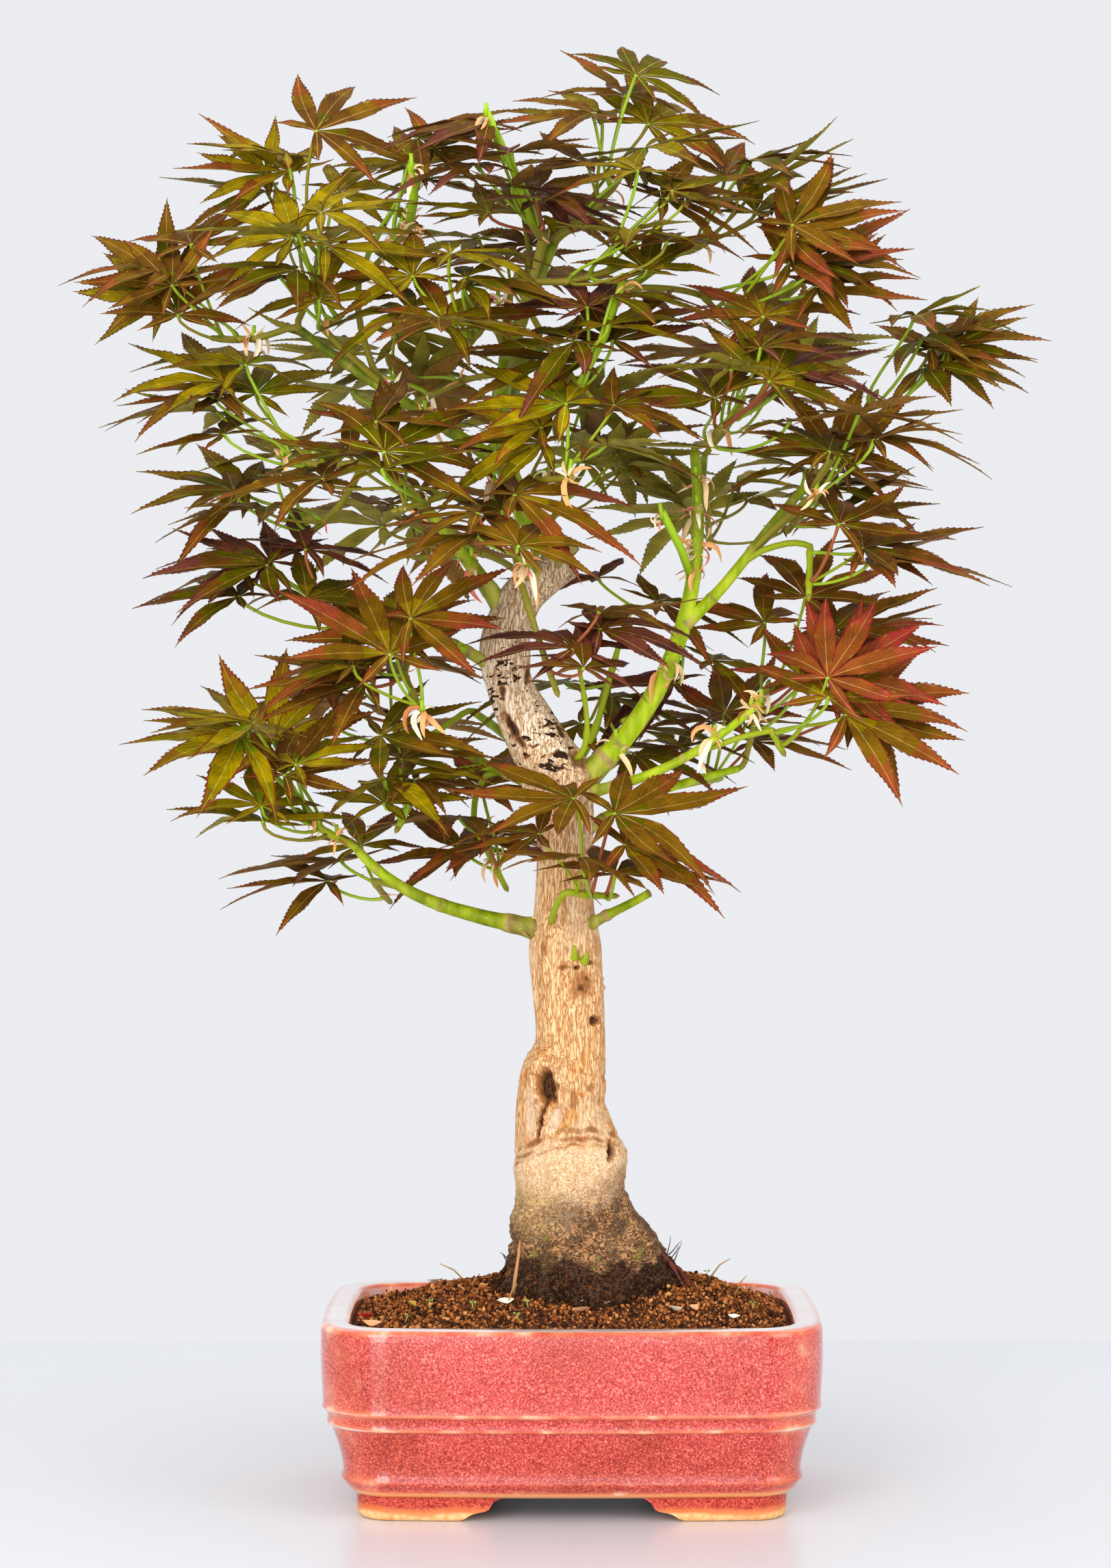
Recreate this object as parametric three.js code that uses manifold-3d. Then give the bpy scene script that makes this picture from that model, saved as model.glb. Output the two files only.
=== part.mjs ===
// Bonsai Japanese maple in a red glazed pot. Millimetres, +Z up, the front faces -Y.
// The model is laid out round the middle of the pot's foot, then the whole group is shifted so that
// the origin is the middle of its bounding box, at the bottom.
import * as THREE from "three";
import { mergeVertices } from "three/addons/utils/BufferGeometryUtils.js";
import Module from "manifold-3d";

const wasm = await Module();
wasm.setup();

const gap = 0.3; // between pieces that touch

// The pot: a rounded rectangle with bowed sides, a band round the middle and four cut-out feet.
const potWidth = 210;
const potDepth = 147;
const potHeight = 81.1;
const cornerRadius = 30;
const sideBow = 2.2;
const rimWidth = 12.5;
const floorHeight = 20;
const floorInset = 19; // of the inner wall, where it meets the floor
const bodyBottom = 10.4; // the feet fill the height below it
const footInset = 15;
const footThickness = 13;
const footCutTop = 30; // half length of the opening between two front feet, at its top
const footCutBottom = 46;
const sideCutTop = 12; // the same between the feet of a short side
const sideCutBottom = 26;
// Outer wall from the bottom up: how far it lies inside the widest outline, at which height.
const wallProfile = [
  [15.0, 10.4],
  [12.2, 12.2],
  [10.1, 14.6],
  [9.3, 17.2],
  [9.4, 20.0],
  [8.0, 28.0],
  [5.6, 35.0],
  [4.3, 38.4],
  [2.7, 39.5],
  [2.4, 40.6],
  [2.3, 44.6],
  [0.6, 45.6],
  [0.5, 46.8],
  [0.9, 48.0],
  [0.0, 62.0],
  [0.2, 76.0],
  [1.3, 79.8],
  [3.6, 81.1],
  [11.4, 81.1],
  [12.5, 79.9],
];

// The soil: it fills the pot and is mounded up to the trunk.
const soilEdge = 78.6;
const soilTop = 91.7;
const soilPlateau = 0.56; // share of the mound that is level, under the trunk

// The trunk, from the flat cut at soil level to the fork: middle x, y, height, radius.
const trunkStations = [
  [6.5, 0, 92, 41.0],
  [7.4, 0, 97, 36.6],
  [5.8, 0, 106, 32.4],
  [2.3, 1, 116, 28.4],
  [-0.6, 2, 128, 23.4],
  [-0.4, 2, 141, 24.6],
  [-3.2, 2, 155, 21.4],
  [-5.0, 1, 167, 19.0],
  [-3.6, 0, 179, 18.4],
  [-0.6, 0, 193, 15.0],
  [-1.1, 0, 214, 14.8],
  [-2.4, 0, 235, 15.0],
  [-2.9, 0, 252, 12.8],
  [-2.8, 1, 279, 12.2],
  [-3.2, 1, 294, 12.8],
  [-6.4, 1, 307, 15.6],
  [-13.2, 2, 320, 13.0],
  [-20.0, 3, 333, 11.8],
  [-26.6, 4, 348, 10.0],
  [-28.4, 4, 361, 11.0],
  [-26.8, 4, 373, 10.0],
  [-21.0, 3, 386, 9.4],
  [-11.4, 2, 394.6, 8.6],
  [-2.0, 0, 401, 7.8],
];
const trunkSides = 16;
const trunkDepthShare = 0.9; // of its width
const rootCount = 5;
const rootSwell = 0.11; // how far the roots swell the foot, as a share of its radius
const rootFade = 26; // height over which that swelling fades

// Boughs: name, where one starts (on what, and at which height of the trunk or share of a bough),
// the end, first and last slope in degrees, first and last radius, sideways push of the middle.
const boughs = [
  ["leader", "trunk", 401, [-8, 0, 538], [70, 80], [5.6, 2.6], [-30, 0]],
  ["bough_right", "trunk", 300, [53, -4, 448], [40, 88], [5, 2.2], [8, 0]],
  ["bough_right_low", "trunk", 300, [80, -22, 340], [6, 42], [2.4, 1.6]],
  ["bough_right_lower", "trunk", 277, [74, 40, 312], [40, 12], [2.6, 1.6]],
  ["bough_lowest_right", "trunk", 236, [33, -20, 259], [44, 30], [2.4, 1.7]],
  ["bough_lowest_left", "trunk", 240, [-92, -2, 277], [14, 50], [4, 2]],
  ["bough_left_mid", "trunk", 303, [-58, 22, 327], [12, 35], [2.6, 1.7]],
  ["bough_left_upper", "trunk", 352, [-80, -10, 374], [30, 4], [2.6, 1.7]],
  ["bough_upper_left", "trunk", 376, [-84, -6, 442], [52, 34], [3.6, 2]],
  ["bough_front", "trunk", 392, [-34, -50, 436], [34, 60], [3, 1.9]],
  ["bough_back", "trunk", 356, [-14, 74, 418], [44, 40], [3.6, 2]],
  ["bough_back_low", "trunk", 306, [-44, 66, 338], [30, 20], [2.8, 1.7]],
  ["bough_high_left", "leader", 0.3, [-116, -6, 500], [34, 38], [3, 1.8]],
  ["bough_high_right", "leader", 0.62, [44, -6, 532], [30, 34], [2.6, 1.7]],
  ["bough_high_back", "leader", 0.45, [-14, 62, 508], [36, 44], [2.8, 1.8]],
  ["bough_high_front", "leader", 0.5, [-26, -48, 512], [40, 50], [2.8, 1.8]],
  ["bough_right_out", "bough_right", 0.55, [104, 4, 436], [38, 42], [2.6, 1.7]],
  ["bough_right_back", "bough_right", 0.7, [60, 62, 452], [44, 36], [2.6, 1.7]],
].map(([name, from, at, to, rise, radii, bow = [0, 0]]) => ({ name, from, at, to, rise, radii, bow }));
const boughSides = 5;
const boughSteps = 6;
const boughPull = 0.36; // length of a curve's handles as a share of its span

// Masses of foliage: name, bough, middle, half the space that one keeps to, leaves, the compass
// direction that they spread round (0 is +X, 90 is +Y), how far they spread, and how far their faces
// turn to the front.
const masses = [
  ["crown_tip", "leader", [26, -4, 594], [50, 42, 26], 6, 60, 320, 22],
  ["top_right", "bough_high_right", [70, -4, 562], [46, 40, 20], 5, 10, 220, 16],
  ["top_left", "bough_high_left", [-114, -6, 568], [44, 40, 30], 5, 120, 240, 40],
  ["top_mid_left", "bough_high_left", [-72, -10, 572], [36, 38, 24], 4, 110, 240, 26],
  ["top_centre", "leader", [-26, -24, 570], [46, 42, 26], 6, 150, 330, 24],
  ["top_mid_right", "bough_high_front", [30, -52, 548], [44, 40, 26], 6, 20, 300, 26],
  ["far_left_high", "bough_high_left", [-164, -6, 522], [42, 40, 24], 5, 160, 200, 34],
  ["left_high", "bough_high_left", [-108, -52, 528], [44, 40, 30], 6, 180, 330, 34],
  ["right_high", "bough_high_right", [78, -34, 528], [54, 42, 28], 6, 40, 280, 40],
  ["far_right", "bough_right_out", [142, -10, 496], [46, 42, 24], 5, 20, 240, 40],
  ["left_mid", "bough_upper_left", [-136, -16, 472], [48, 42, 26], 6, 165, 240, 24],
  ["left_mid_low", "bough_upper_left", [-130, 20, 436], [52, 42, 20], 5, 180, 240, 14],
  ["centre_high", "bough_high_front", [-54, -72, 510], [44, 38, 26], 6, 200, 320, 26],
  ["centre_right_high", "bough_high_front", [12, -72, 494], [42, 38, 26], 5, 60, 320, 26],
  ["right_mid", "bough_right", [74, -52, 476], [54, 42, 22], 6, -30, 300, 20],
  ["right_inner", "bough_right_out", [112, -68, 448], [46, 40, 24], 4, -10, 280, 20],
  ["right_mid_low", "bough_right_out", [106, 20, 440], [44, 40, 20], 4, 20, 220, 16],
  ["right_low", "bough_right_out", [112, -26, 408], [46, 40, 20], 4, 10, 200, 16],
  ["right_lower", "bough_right_lower", [100, 26, 372], [58, 42, 20], 5, 20, 280, 14],
  ["right_red", "bough_right_low", [102, -34, 344], [48, 40, 32], 4, 20, 240, 46],
  ["left_low_mid", "bough_left_upper", [-118, -8, 396], [56, 42, 18], 5, 180, 260, 18],
  ["left_inner", "bough_left_upper", [-74, -44, 362], [48, 38, 26], 5, 160, 300, 28],
  ["left_low", "bough_lowest_left", [-130, -20, 320], [54, 44, 30], 7, 185, 280, 28],
  ["left_low_in", "bough_left_mid", [-86, -14, 312], [46, 40, 28], 5, 190, 300, 26],
  ["lowest_left", "bough_lowest_left", [-92, 34, 272], [48, 38, 14], 3, 170, 160, 6],
  ["low_centre_left", "bough_left_mid", [-40, 34, 288], [44, 38, 28], 4, 190, 260, 14],
  ["low_front", "bough_lowest_right", [8, -52, 284], [48, 38, 26], 5, -40, 300, 18],
  ["trunk_front", "bough_front", [4, -60, 366], [42, 36, 20], 4, 0, 260, 18],
  ["centre_front", "bough_front", [-30, -88, 414], [44, 38, 18], 4, 180, 320, 18],
  ["left_front", "bough_front", [-84, -74, 440], [50, 40, 20], 5, 180, 300, 16],
  ["centre_mid_right", "bough_front", [4, -84, 456], [42, 36, 22], 5, 60, 320, 26],
  ["right_inner_back", "bough_right_lower", [66, 66, 330], [46, 40, 20], 4, 60, 240, 4],
  ["back_top", "bough_high_back", [-24, 66, 556], [50, 44, 26], 6, 90, 340, -10],
  ["back_left", "bough_high_back", [-88, 86, 498], [50, 44, 26], 6, 120, 280, -14],
  ["back_right", "bough_right_back", [84, 84, 502], [52, 44, 26], 6, 60, 280, -14],
  ["back_centre", "bough_back", [2, 112, 466], [48, 44, 26], 6, 90, 300, -18],
  ["back_left_mid", "bough_back", [-76, 100, 430], [48, 44, 22], 5, 120, 260, -14],
  ["back_right_mid", "bough_right_back", [70, 110, 436], [48, 42, 22], 5, 60, 260, -14],
  ["back_low", "bough_back_low", [-88, 88, 346], [50, 42, 26], 5, 120, 260, -8],
].map(([name, on, at, reach, leaves, fan, spread, lean]) => {
  return { name: `mass_${name}`, on, at, reach, leaves, fan, spread, lean };
});

// A leaf: seven lobes round the palm, where its stalk ends.
const leafLength = 47; // of its middle lobe, before each leaf's own share
const lobeAngles = [-122, -76, -38, 0, 38, 76, 122];
const lobeShares = [0.42, 0.8, 0.96, 1, 0.96, 0.8, 0.42];
const lobeHalfWidth = 0.13; // of the lobe's length
const lobeWidestAt = 0.5;
const sinusShare = 0.24; // of the leaf's length, from the palm to the notch between two lobes
const outerSinusShare = 0.16; // the same beside the two small lobes
const leafThickness = 2.8; // at the palm; it thins to the edge
const stalkRadius = 0.9;
const twigRadius = 1.3;
const nodeLength = 2.2; // of the stem, where leaves grow
const firstNodeAt = 0.42; // share of the stem that is bare
const stalkOverlap = 1.5; // volume that two stalks of one mass may share at their root
const tries = 40; // places tried for a leaf before it is skipped
const leafClearance = 7; // between the ribs of leaves of two masses
const ownClearance = 5; // between the ribs of leaves of one mass
const limbClearance = 5; // between a leaf's ribs and the middle of a limb
const flatness = 1.8; // leaves lie flat, so they may be this much closer in height
const spaceMargin = 14; // a lobe's tip may pass its mass's space by this much

const turn = Math.PI * 2;
const radians = (degrees) => (degrees * Math.PI) / 180;
const vec = (x, y, z) => new THREE.Vector3(x, y, z);

// A seeded run of numbers from 0 to 1.
function seeded(seed) {
  let state = seed >>> 0;
  return () => {
    state = (state + 0x6d2b79f5) >>> 0;
    let t = Math.imul(state ^ (state >>> 15), state | 1);
    t = (t + Math.imul(t ^ (t >>> 7), t | 61)) ^ t;
    return ((t ^ (t >>> 14)) >>> 0) / 4294967296;
  };
}

// A closed geometry from rings of equal length, with a fan over each end.
function loft(rings) {
  const points = rings.flat();
  const count = rings[0].length;
  const faces = [];
  for (let r = 0; r + 1 < rings.length; r++) {
    for (let i = 0; i < count; i++) {
      const a = r * count + i;
      const b = r * count + ((i + 1) % count);
      faces.push(a, b, b + count, a, b + count, a + count);
    }
  }
  const last = (rings.length - 1) * count;
  const middle = (ring) => ring.reduce((sum, p) => sum.add(p), vec(0, 0, 0)).divideScalar(count);
  points.push(middle(rings[0]), middle(rings.at(-1)));
  for (let i = 0; i < count; i++) {
    const next = (i + 1) % count;
    faces.push(points.length - 2, next, i);
    faces.push(points.length - 1, last + i, last + next);
  }
  return new THREE.BufferGeometry().setFromPoints(points).setIndex(faces);
}

function solid(geometry) {
  const plain = geometry.clone();
  plain.deleteAttribute("normal");
  plain.deleteAttribute("uv");
  const merged = mergeVertices(plain, 1e-4);
  const vertProperties = new Float32Array(merged.attributes.position.array);
  const triVerts = new Uint32Array(merged.index.array);
  return new wasm.Manifold(new wasm.Mesh({ numProp: 3, vertProperties, triVerts }));
}

// The one piece that is left when scraps and sealed hollows are dropped.
function largest(body) {
  return body.decompose().reduce((a, b) => (b.volume() > a.volume() ? b : a));
}

function geometryOf(body) {
  const mesh = body.getMesh();
  const places = new Float32Array(mesh.numVert * 3);
  for (let i = 0; i < mesh.numVert; i++) {
    const start = i * mesh.numProp;
    places.set(mesh.vertProperties.subarray(start, start + 3), i * 3);
  }
  const geometry = new THREE.BufferGeometry();
  geometry.setAttribute("position", new THREE.BufferAttribute(places, 3));
  geometry.setIndex(new THREE.BufferAttribute(new Uint32Array(mesh.triVerts), 1));
  geometry.computeVertexNormals();
  return geometry;
}

const finishes = {
  glaze: { color: 0xc04a4a, roughness: 0.2, metalness: 0 },
  soil: { color: 0x5e3a1e, roughness: 0.95, metalness: 0 },
  bark: { color: 0xc7a27a, roughness: 0.8, metalness: 0 },
  youngBark: { color: 0x93b32c, roughness: 0.55, metalness: 0 },
  foliage: { color: 0x5a5a24, roughness: 0.6, metalness: 0 },
};

const tree = new THREE.Group();
function addPiece(name, body, finish) {
  const material = new THREE.MeshStandardMaterial(finishes[finish]);
  const piece = new THREE.Mesh(geometryOf(body), material);
  piece.name = name;
  tree.add(piece);
}

// Outline of the pot at one height, counter-clockwise, inside the widest outline by inset.
function potRing(inset, z, scale = 1) {
  const halfWidth = potWidth / 2 - inset;
  const halfDepth = potDepth / 2 - inset;
  const radius = Math.max(cornerRadius - inset, 8);
  const cornerSteps = 4;
  const flatX = halfWidth - radius;
  const flatY = halfDepth - radius;
  const ring = [];
  [[1, 1], [-1, 1], [-1, -1], [1, -1]].forEach(([sideX, sideY], quarter) => {
    for (let i = 0; i <= cornerSteps; i++) {
      const angle = ((quarter + i / cornerSteps) * Math.PI) / 2;
      const x = sideX * flatX + radius * Math.cos(angle);
      ring.push(vec(x, sideY * flatY + radius * Math.sin(angle), z));
    }
    if (quarter % 2 === 0) {
      [0.5, 0, -0.5].forEach((x) => {
        ring.push(vec(x * flatX * sideY, sideY * (halfDepth + sideBow * (1 - x * x)), z));
      });
    } else {
      ring.push(vec(sideX * (halfWidth + sideBow / 2), 0, z));
    }
  });
  return ring.map((p) => vec(p.x * scale, p.y * scale, z));
}

function innerInset(z) {
  const rimInner = potHeight - 1.2;
  return THREE.MathUtils.mapLinear(Math.min(z, rimInner), rimInner, floorHeight, rimWidth, floorInset);
}

// The opening between two feet, as a prism that runs through the whole pot.
function footCutter(halfTop, halfBottom, length, along) {
  const half = [
    [halfBottom, -1],
    [halfBottom, 1.6],
    [halfBottom - (halfBottom - halfTop) * 0.35, 3.6],
    [halfTop + (halfBottom - halfTop) * 0.28, 5],
    [halfTop + (halfBottom - halfTop) * 0.2, 8],
    [halfTop, bodyBottom],
  ];
  const outline = half.map(([x, z]) => new THREE.Vector2(x, z));
  const mirrored = half.map(([x, z]) => new THREE.Vector2(-x, z)).reverse();
  const shape = new THREE.Shape([...outline, ...mirrored]);
  const prism = new THREE.ExtrudeGeometry(shape, { depth: length, bevelEnabled: false });
  prism.translate(0, 0, -length / 2).rotateX(Math.PI / 2);
  if (along === "x") prism.rotateZ(Math.PI / 2);
  return solid(prism);
}

function makePot() {
  const outside = wallProfile.map(([inset, z]) => potRing(inset, z));
  const inside = [60, 40, floorHeight].map((z) => potRing(innerInset(z), z));
  const body = solid(loft([...outside, ...inside]));
  const sunk = bodyBottom + 1.5;
  const innerEdge = footInset + footThickness;
  const outerRings = [[2.2, 0], [0.6, 2], [0, sunk]].map(([more, z]) => potRing(footInset + more, z));
  const footOuter = solid(loft(outerRings));
  const footInner = solid(loft([potRing(innerEdge, -1), potRing(innerEdge, bodyBottom)]));
  const feet = footOuter
    .subtract(footInner)
    .subtract(footCutter(footCutTop, footCutBottom, 2 * potWidth, "y"))
    .subtract(footCutter(sideCutTop, sideCutBottom, 2 * potWidth, "x"));
  return largest(body.add(feet));
}

function makeSoil() {
  const base = floorHeight + gap;
  const walls = [base, 45, soilEdge].map((z) => potRing(innerInset(z) + gap, z));
  const mound = [0.9, 0.78, 0.66, soilPlateau].map((share) => {
    const fall = (share - soilPlateau) / (1 - soilPlateau);
    return potRing(innerInset(soilEdge) + gap, soilTop - (soilTop - soilEdge) * fall ** 1.6, share);
  });
  return solid(loft([...walls, ...mound]));
}

// Frames along a route: each ring stands square to it, and the frame turns as little as it can.
function ringsAlong(points, sides, radiusAt, depthShare = 1) {
  let across = vec(1, 0, 0);
  return points.map((point, i) => {
    const before = points[Math.max(i - 1, 0)];
    const after = points[Math.min(i + 1, points.length - 1)];
    const ahead = after.clone().sub(before).normalize();
    if (i === 0 && Math.abs(ahead.x) > 0.9) across = vec(0, 1, 0);
    across = across.clone().addScaledVector(ahead, -across.dot(ahead)).normalize();
    const other = ahead.clone().cross(across);
    return Array.from({ length: sides }, (_, k) => {
      const angle = (k / sides) * turn;
      const radius = radiusAt(i, angle);
      return point
        .clone()
        .addScaledVector(across, radius * Math.cos(angle))
        .addScaledVector(other, radius * depthShare * Math.sin(angle));
    });
  });
}

const trunkPath = trunkStations.map(([x, y, z]) => vec(x, y, z));

function makeTrunk(extra) {
  const rings = ringsAlong(
    trunkPath,
    trunkSides,
    (i, angle) => {
      const [, , z, radius] = trunkStations[i];
      const fade = Math.max(0, 1 - (z - trunkStations[0][2]) / rootFade);
      return radius * (1 + rootSwell * fade * Math.cos(rootCount * angle + 0.6)) + extra;
    },
    trunkDepthShare,
  );
  rings[0].forEach((p) => (p.z = trunkStations[0][2])); // the cut at soil level is flat
  return solid(loft(rings));
}

function trunkPointAt(z) {
  const i = Math.max(1, trunkStations.findIndex((station) => station[2] >= z));
  const [below, above] = [trunkStations[i - 1], trunkStations[i]];
  const share = (z - below[2]) / (above[2] - below[2]);
  return trunkPath[i - 1].clone().lerp(trunkPath[i], share);
}

function direction(compass, pitch) {
  const flat = Math.cos(radians(pitch));
  return vec(
    Math.cos(radians(compass)) * flat,
    Math.sin(radians(compass)) * flat,
    Math.sin(radians(pitch)),
  );
}

// A limb's route, from its start to its end, by its slope at both.
function limbCurve(start, end, rise, bow) {
  const span = start.distanceTo(end) * boughPull;
  const compass = (Math.atan2(end.y - start.y, end.x - start.x) * 180) / Math.PI;
  const push = vec(bow[0], bow[1], 0);
  const first = start.clone().addScaledVector(direction(compass, rise[0]), span).add(push);
  const second = end.clone().addScaledVector(direction(compass, rise[1]), -span).add(push);
  return new THREE.CubicBezierCurve3(start, first, second, end);
}

// extra widens a limb and carries it on past its end, to cut what comes near it.
function makeLimb(curve, [startRadius, endRadius], steps, sides, extra) {
  const points = curve.getPoints(steps);
  if (extra) points[steps].addScaledVector(curve.getTangent(1), extra);
  const taper = (i) => THREE.MathUtils.lerp(startRadius, endRadius, i / steps) + extra;
  return solid(loft(ringsAlong(points, sides, taper)));
}

const limbs = new Map([["trunk", { body: makeTrunk(0), cutter: makeTrunk(gap) }]]);

function growBoughs() {
  for (const bough of boughs) {
    const parent = limbs.get(bough.from);
    const start = bough.from === "trunk" ? trunkPointAt(bough.at) : parent.curve.getPoint(bough.at);
    const curve = limbCurve(start, vec(...bough.to), bough.rise, bough.bow);
    const whole = makeLimb(curve, bough.radii, boughSteps, boughSides, 0);
    const cutter = makeLimb(curve, bough.radii, boughSteps, boughSides, gap);
    limbs.set(bough.name, { body: largest(whole.subtract(parent.cutter)), cutter, curve, bough });
  }
}

// A mass leans to the front as its leaves do.
function tilted(offset, mass) {
  return offset.applyAxisAngle(vec(1, 0, 0), radians(mass.lean));
}

// The stem of a mass goes on from its bough's tip to a hub low in the mass, on the tree's side.
function hubOf(mass) {
  const back = direction(mass.fan, 0).multiplyScalar(-0.25 * mass.reach[0]);
  return vec(...mass.at).add(tilted(back.add(vec(0, 0, -0.8 * mass.reach[2] - 7)), mass));
}

function stemCurve(mass) {
  const parent = limbs.get(mass.on);
  const start = parent.curve.getPoint(1);
  const hub = hubOf(mass);
  const middle = start.clone().lerp(hub, 0.55);
  middle.z -= start.distanceTo(hub) * 0.08;
  return new THREE.QuadraticBezierCurve3(start, middle, hub);
}

// One leaf's place: palm, axes, length and the points along its ribs. attempt tries another place.
function leafPlace(mass, massIndex, index, attempt) {
  const random = seeded(5000 * massIndex + 50 * index + attempt + 1);
  const share = (index + 0.5) / mass.leaves;
  const dealt = (0.618 * index + 0.31 * attempt + 0.1 * random()) % 1;
  const compass = mass.fan + mass.spread * (dealt - 0.5);
  const length = leafLength * (0.86 + 0.26 * random()) * (1 - 0.006 * attempt);
  const room = Math.max(8, mass.reach[0] - 0.7 * length);
  const outward = room * Math.sqrt(share) + (4 + 0.3 * attempt) * random();
  const offset = vec(
    Math.cos(radians(compass)) * outward,
    Math.sin(radians(compass)) * outward,
    mass.reach[2] * (0.65 - 1.35 * share) + (7 + 0.5 * attempt) * (random() - 0.5),
  );
  const palm = vec(...mass.at).add(tilted(offset, mass));
  const heading = radians(compass + 34 * (random() - 0.5));
  const dip = radians(14 * share - 4 + 14 * (random() - 0.4));
  const lean = radians(mass.lean * (0.7 + 0.6 * random()));
  const roll = radians(18 * (random() - 0.5));
  const facing = new THREE.Matrix4()
    .makeRotationX(lean)
    .multiply(new THREE.Matrix4().makeRotationZ(heading))
    .multiply(new THREE.Matrix4().makeRotationY(dip))
    .multiply(new THREE.Matrix4().makeRotationX(roll));
  const droop = 0.05 + 0.13 * random();
  return { palm, facing, length, droop };
}

// A point of a leaf: angle and distance from the palm, lowered as its lobes droop.
function leafPoint(place, angle, distance) {
  const sag = place.droop * place.length * (distance / place.length) ** 1.7;
  const local = vec(distance * Math.cos(angle), distance * Math.sin(angle), -sag);
  return local.applyMatrix4(place.facing).add(place.palm);
}

function ribPoints(place) {
  const points = [place.palm];
  lobeAngles.forEach((angle, lobe) => {
    [0.35, 0.65, 0.95].forEach((share) => {
      points.push(leafPoint(place, radians(angle), share * lobeShares[lobe] * place.length));
    });
  });
  return points;
}

// The outline of a blade, counter-clockwise from above, as points with their angle about the palm.
function bladeOutline(place) {
  const outline = [];
  const add = (angle, distance) => outline.push({ angle, point: leafPoint(place, angle, distance) });
  const aside = Math.atan2(lobeHalfWidth, lobeWidestAt);
  const shoulder = Math.hypot(lobeHalfWidth, lobeWidestAt);
  add(-Math.PI, 0.07 * place.length);
  lobeAngles.forEach((degrees, lobe) => {
    const angle = radians(degrees);
    const length = lobeShares[lobe] * place.length;
    const isBroad = lobeShares[lobe] > 0.9;
    if (isBroad) add(angle - aside, shoulder * length);
    add(angle, length);
    if (isBroad) add(angle + aside, shoulder * length);
    if (lobe + 1 === lobeAngles.length) return;
    const outer = Math.max(Math.abs(degrees), Math.abs(lobeAngles[lobe + 1]));
    const sinus = outer > 100 ? outerSinusShare : sinusShare;
    add(radians((degrees + lobeAngles[lobe + 1]) / 2), sinus * place.length);
  });
  return outline;
}

// Adds a blade and its stalk to points and faces. The stalk grows out of foot, four of the points,
// counter-clockwise seen from the leaf. The blade is a fan on top, and below it a fan round the stalk.
function addLeaf(points, faces, place, foot) {
  const outline = bladeOutline(place);
  const count = outline.length;
  const local = (x, y, z) => vec(x, y, z).applyMatrix4(place.facing).add(place.palm);
  const first = points.length;
  const top = first + count;
  const collar = [0, 1, 2, 3].map((k) => top + 1 + k);
  points.push(...outline.map(({ point }) => point), local(0, 0, leafThickness / 2));
  collar.forEach((_, k) => {
    const angle = (k / 4 - 3 / 8) * turn;
    points.push(local(stalkRadius * Math.cos(angle), stalkRadius * Math.sin(angle), -leafThickness / 2));
  });
  const quarter = (i) => Math.min(3, Math.floor((4 * (outline[i].angle + Math.PI)) / turn));
  for (let i = 0; i < count; i++) {
    const next = (i + 1) % count;
    faces.push(top, first + i, first + next);
    faces.push(collar[quarter(i)], first + next, first + i);
    for (let q = quarter(i); q !== quarter(next); q = (q + 1) % 4) {
      faces.push(collar[q], collar[(q + 1) % 4], first + next);
    }
  }
  const twist = (shift) => foot.reduce((sum, f, k) => {
    return sum + points[f].distanceToSquared(points[collar[(k + shift) % 4]]);
  }, 0);
  const shift = [0, 1, 2, 3].reduce((best, next) => (twist(next) < twist(best) ? next : best));
  for (let k = 0; k < 4; k++) {
    const next = (k + 1) % 4;
    const [low, high] = [collar[(k + shift) % 4], collar[(next + shift) % 4]];
    faces.push(foot[k], foot[next], high, foot[k], high, low);
  }
}

function fromFaces(points, faces) {
  return solid(new THREE.BufferGeometry().setFromPoints(points).setIndex(faces));
}

// A leaf by itself, to try whether it has room.
function looseLeaf(place, footPoints) {
  const points = footPoints.map((p) => p.clone());
  const faces = [2, 1, 0, 3, 2, 0];
  addLeaf(points, faces, place, [0, 1, 2, 3]);
  return fromFaces(points, faces);
}

// The stem of a mass: square rings, close together at each node, where a pair of leaves grows.
function makeStem(mass) {
  const curve = stemCurve(mass);
  const nodes = Math.ceil(mass.leaves / 2);
  const length = curve.getLength();
  const marks = [0];
  for (let node = 0; node < nodes; node++) {
    const middle = firstNodeAt + ((1 - firstNodeAt) * (node + 0.5)) / nodes;
    marks.push(middle - nodeLength / 2 / length, middle + nodeLength / 2 / length);
  }
  marks.push(1);
  const [thick, thin] = [limbs.get(mass.on).bough.radii[1] * 0.85, twigRadius];
  const route = marks.map((mark) => curve.getPoint(mark));
  const rings = (extra) => ringsAlong(route, 4, (i) => THREE.MathUtils.lerp(thick, thin, marks[i]) + extra);
  const sites = [];
  for (let node = 0; node < nodes; node++) {
    for (let side = 0; side < 4; side++) sites.push({ node, side, ring: 1 + 2 * node });
  }
  return { curve, nodes, rings: rings(0), cutter: solid(loft(rings(gap))), sites };
}

// The four corners of a site, counter-clockwise from outside, as places in the stem's list of points.
function siteCorners({ ring, side }) {
  const a = ring * 4 + side;
  const b = ring * 4 + ((side + 1) % 4);
  return [a, b, b + 4, a + 4];
}

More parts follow.
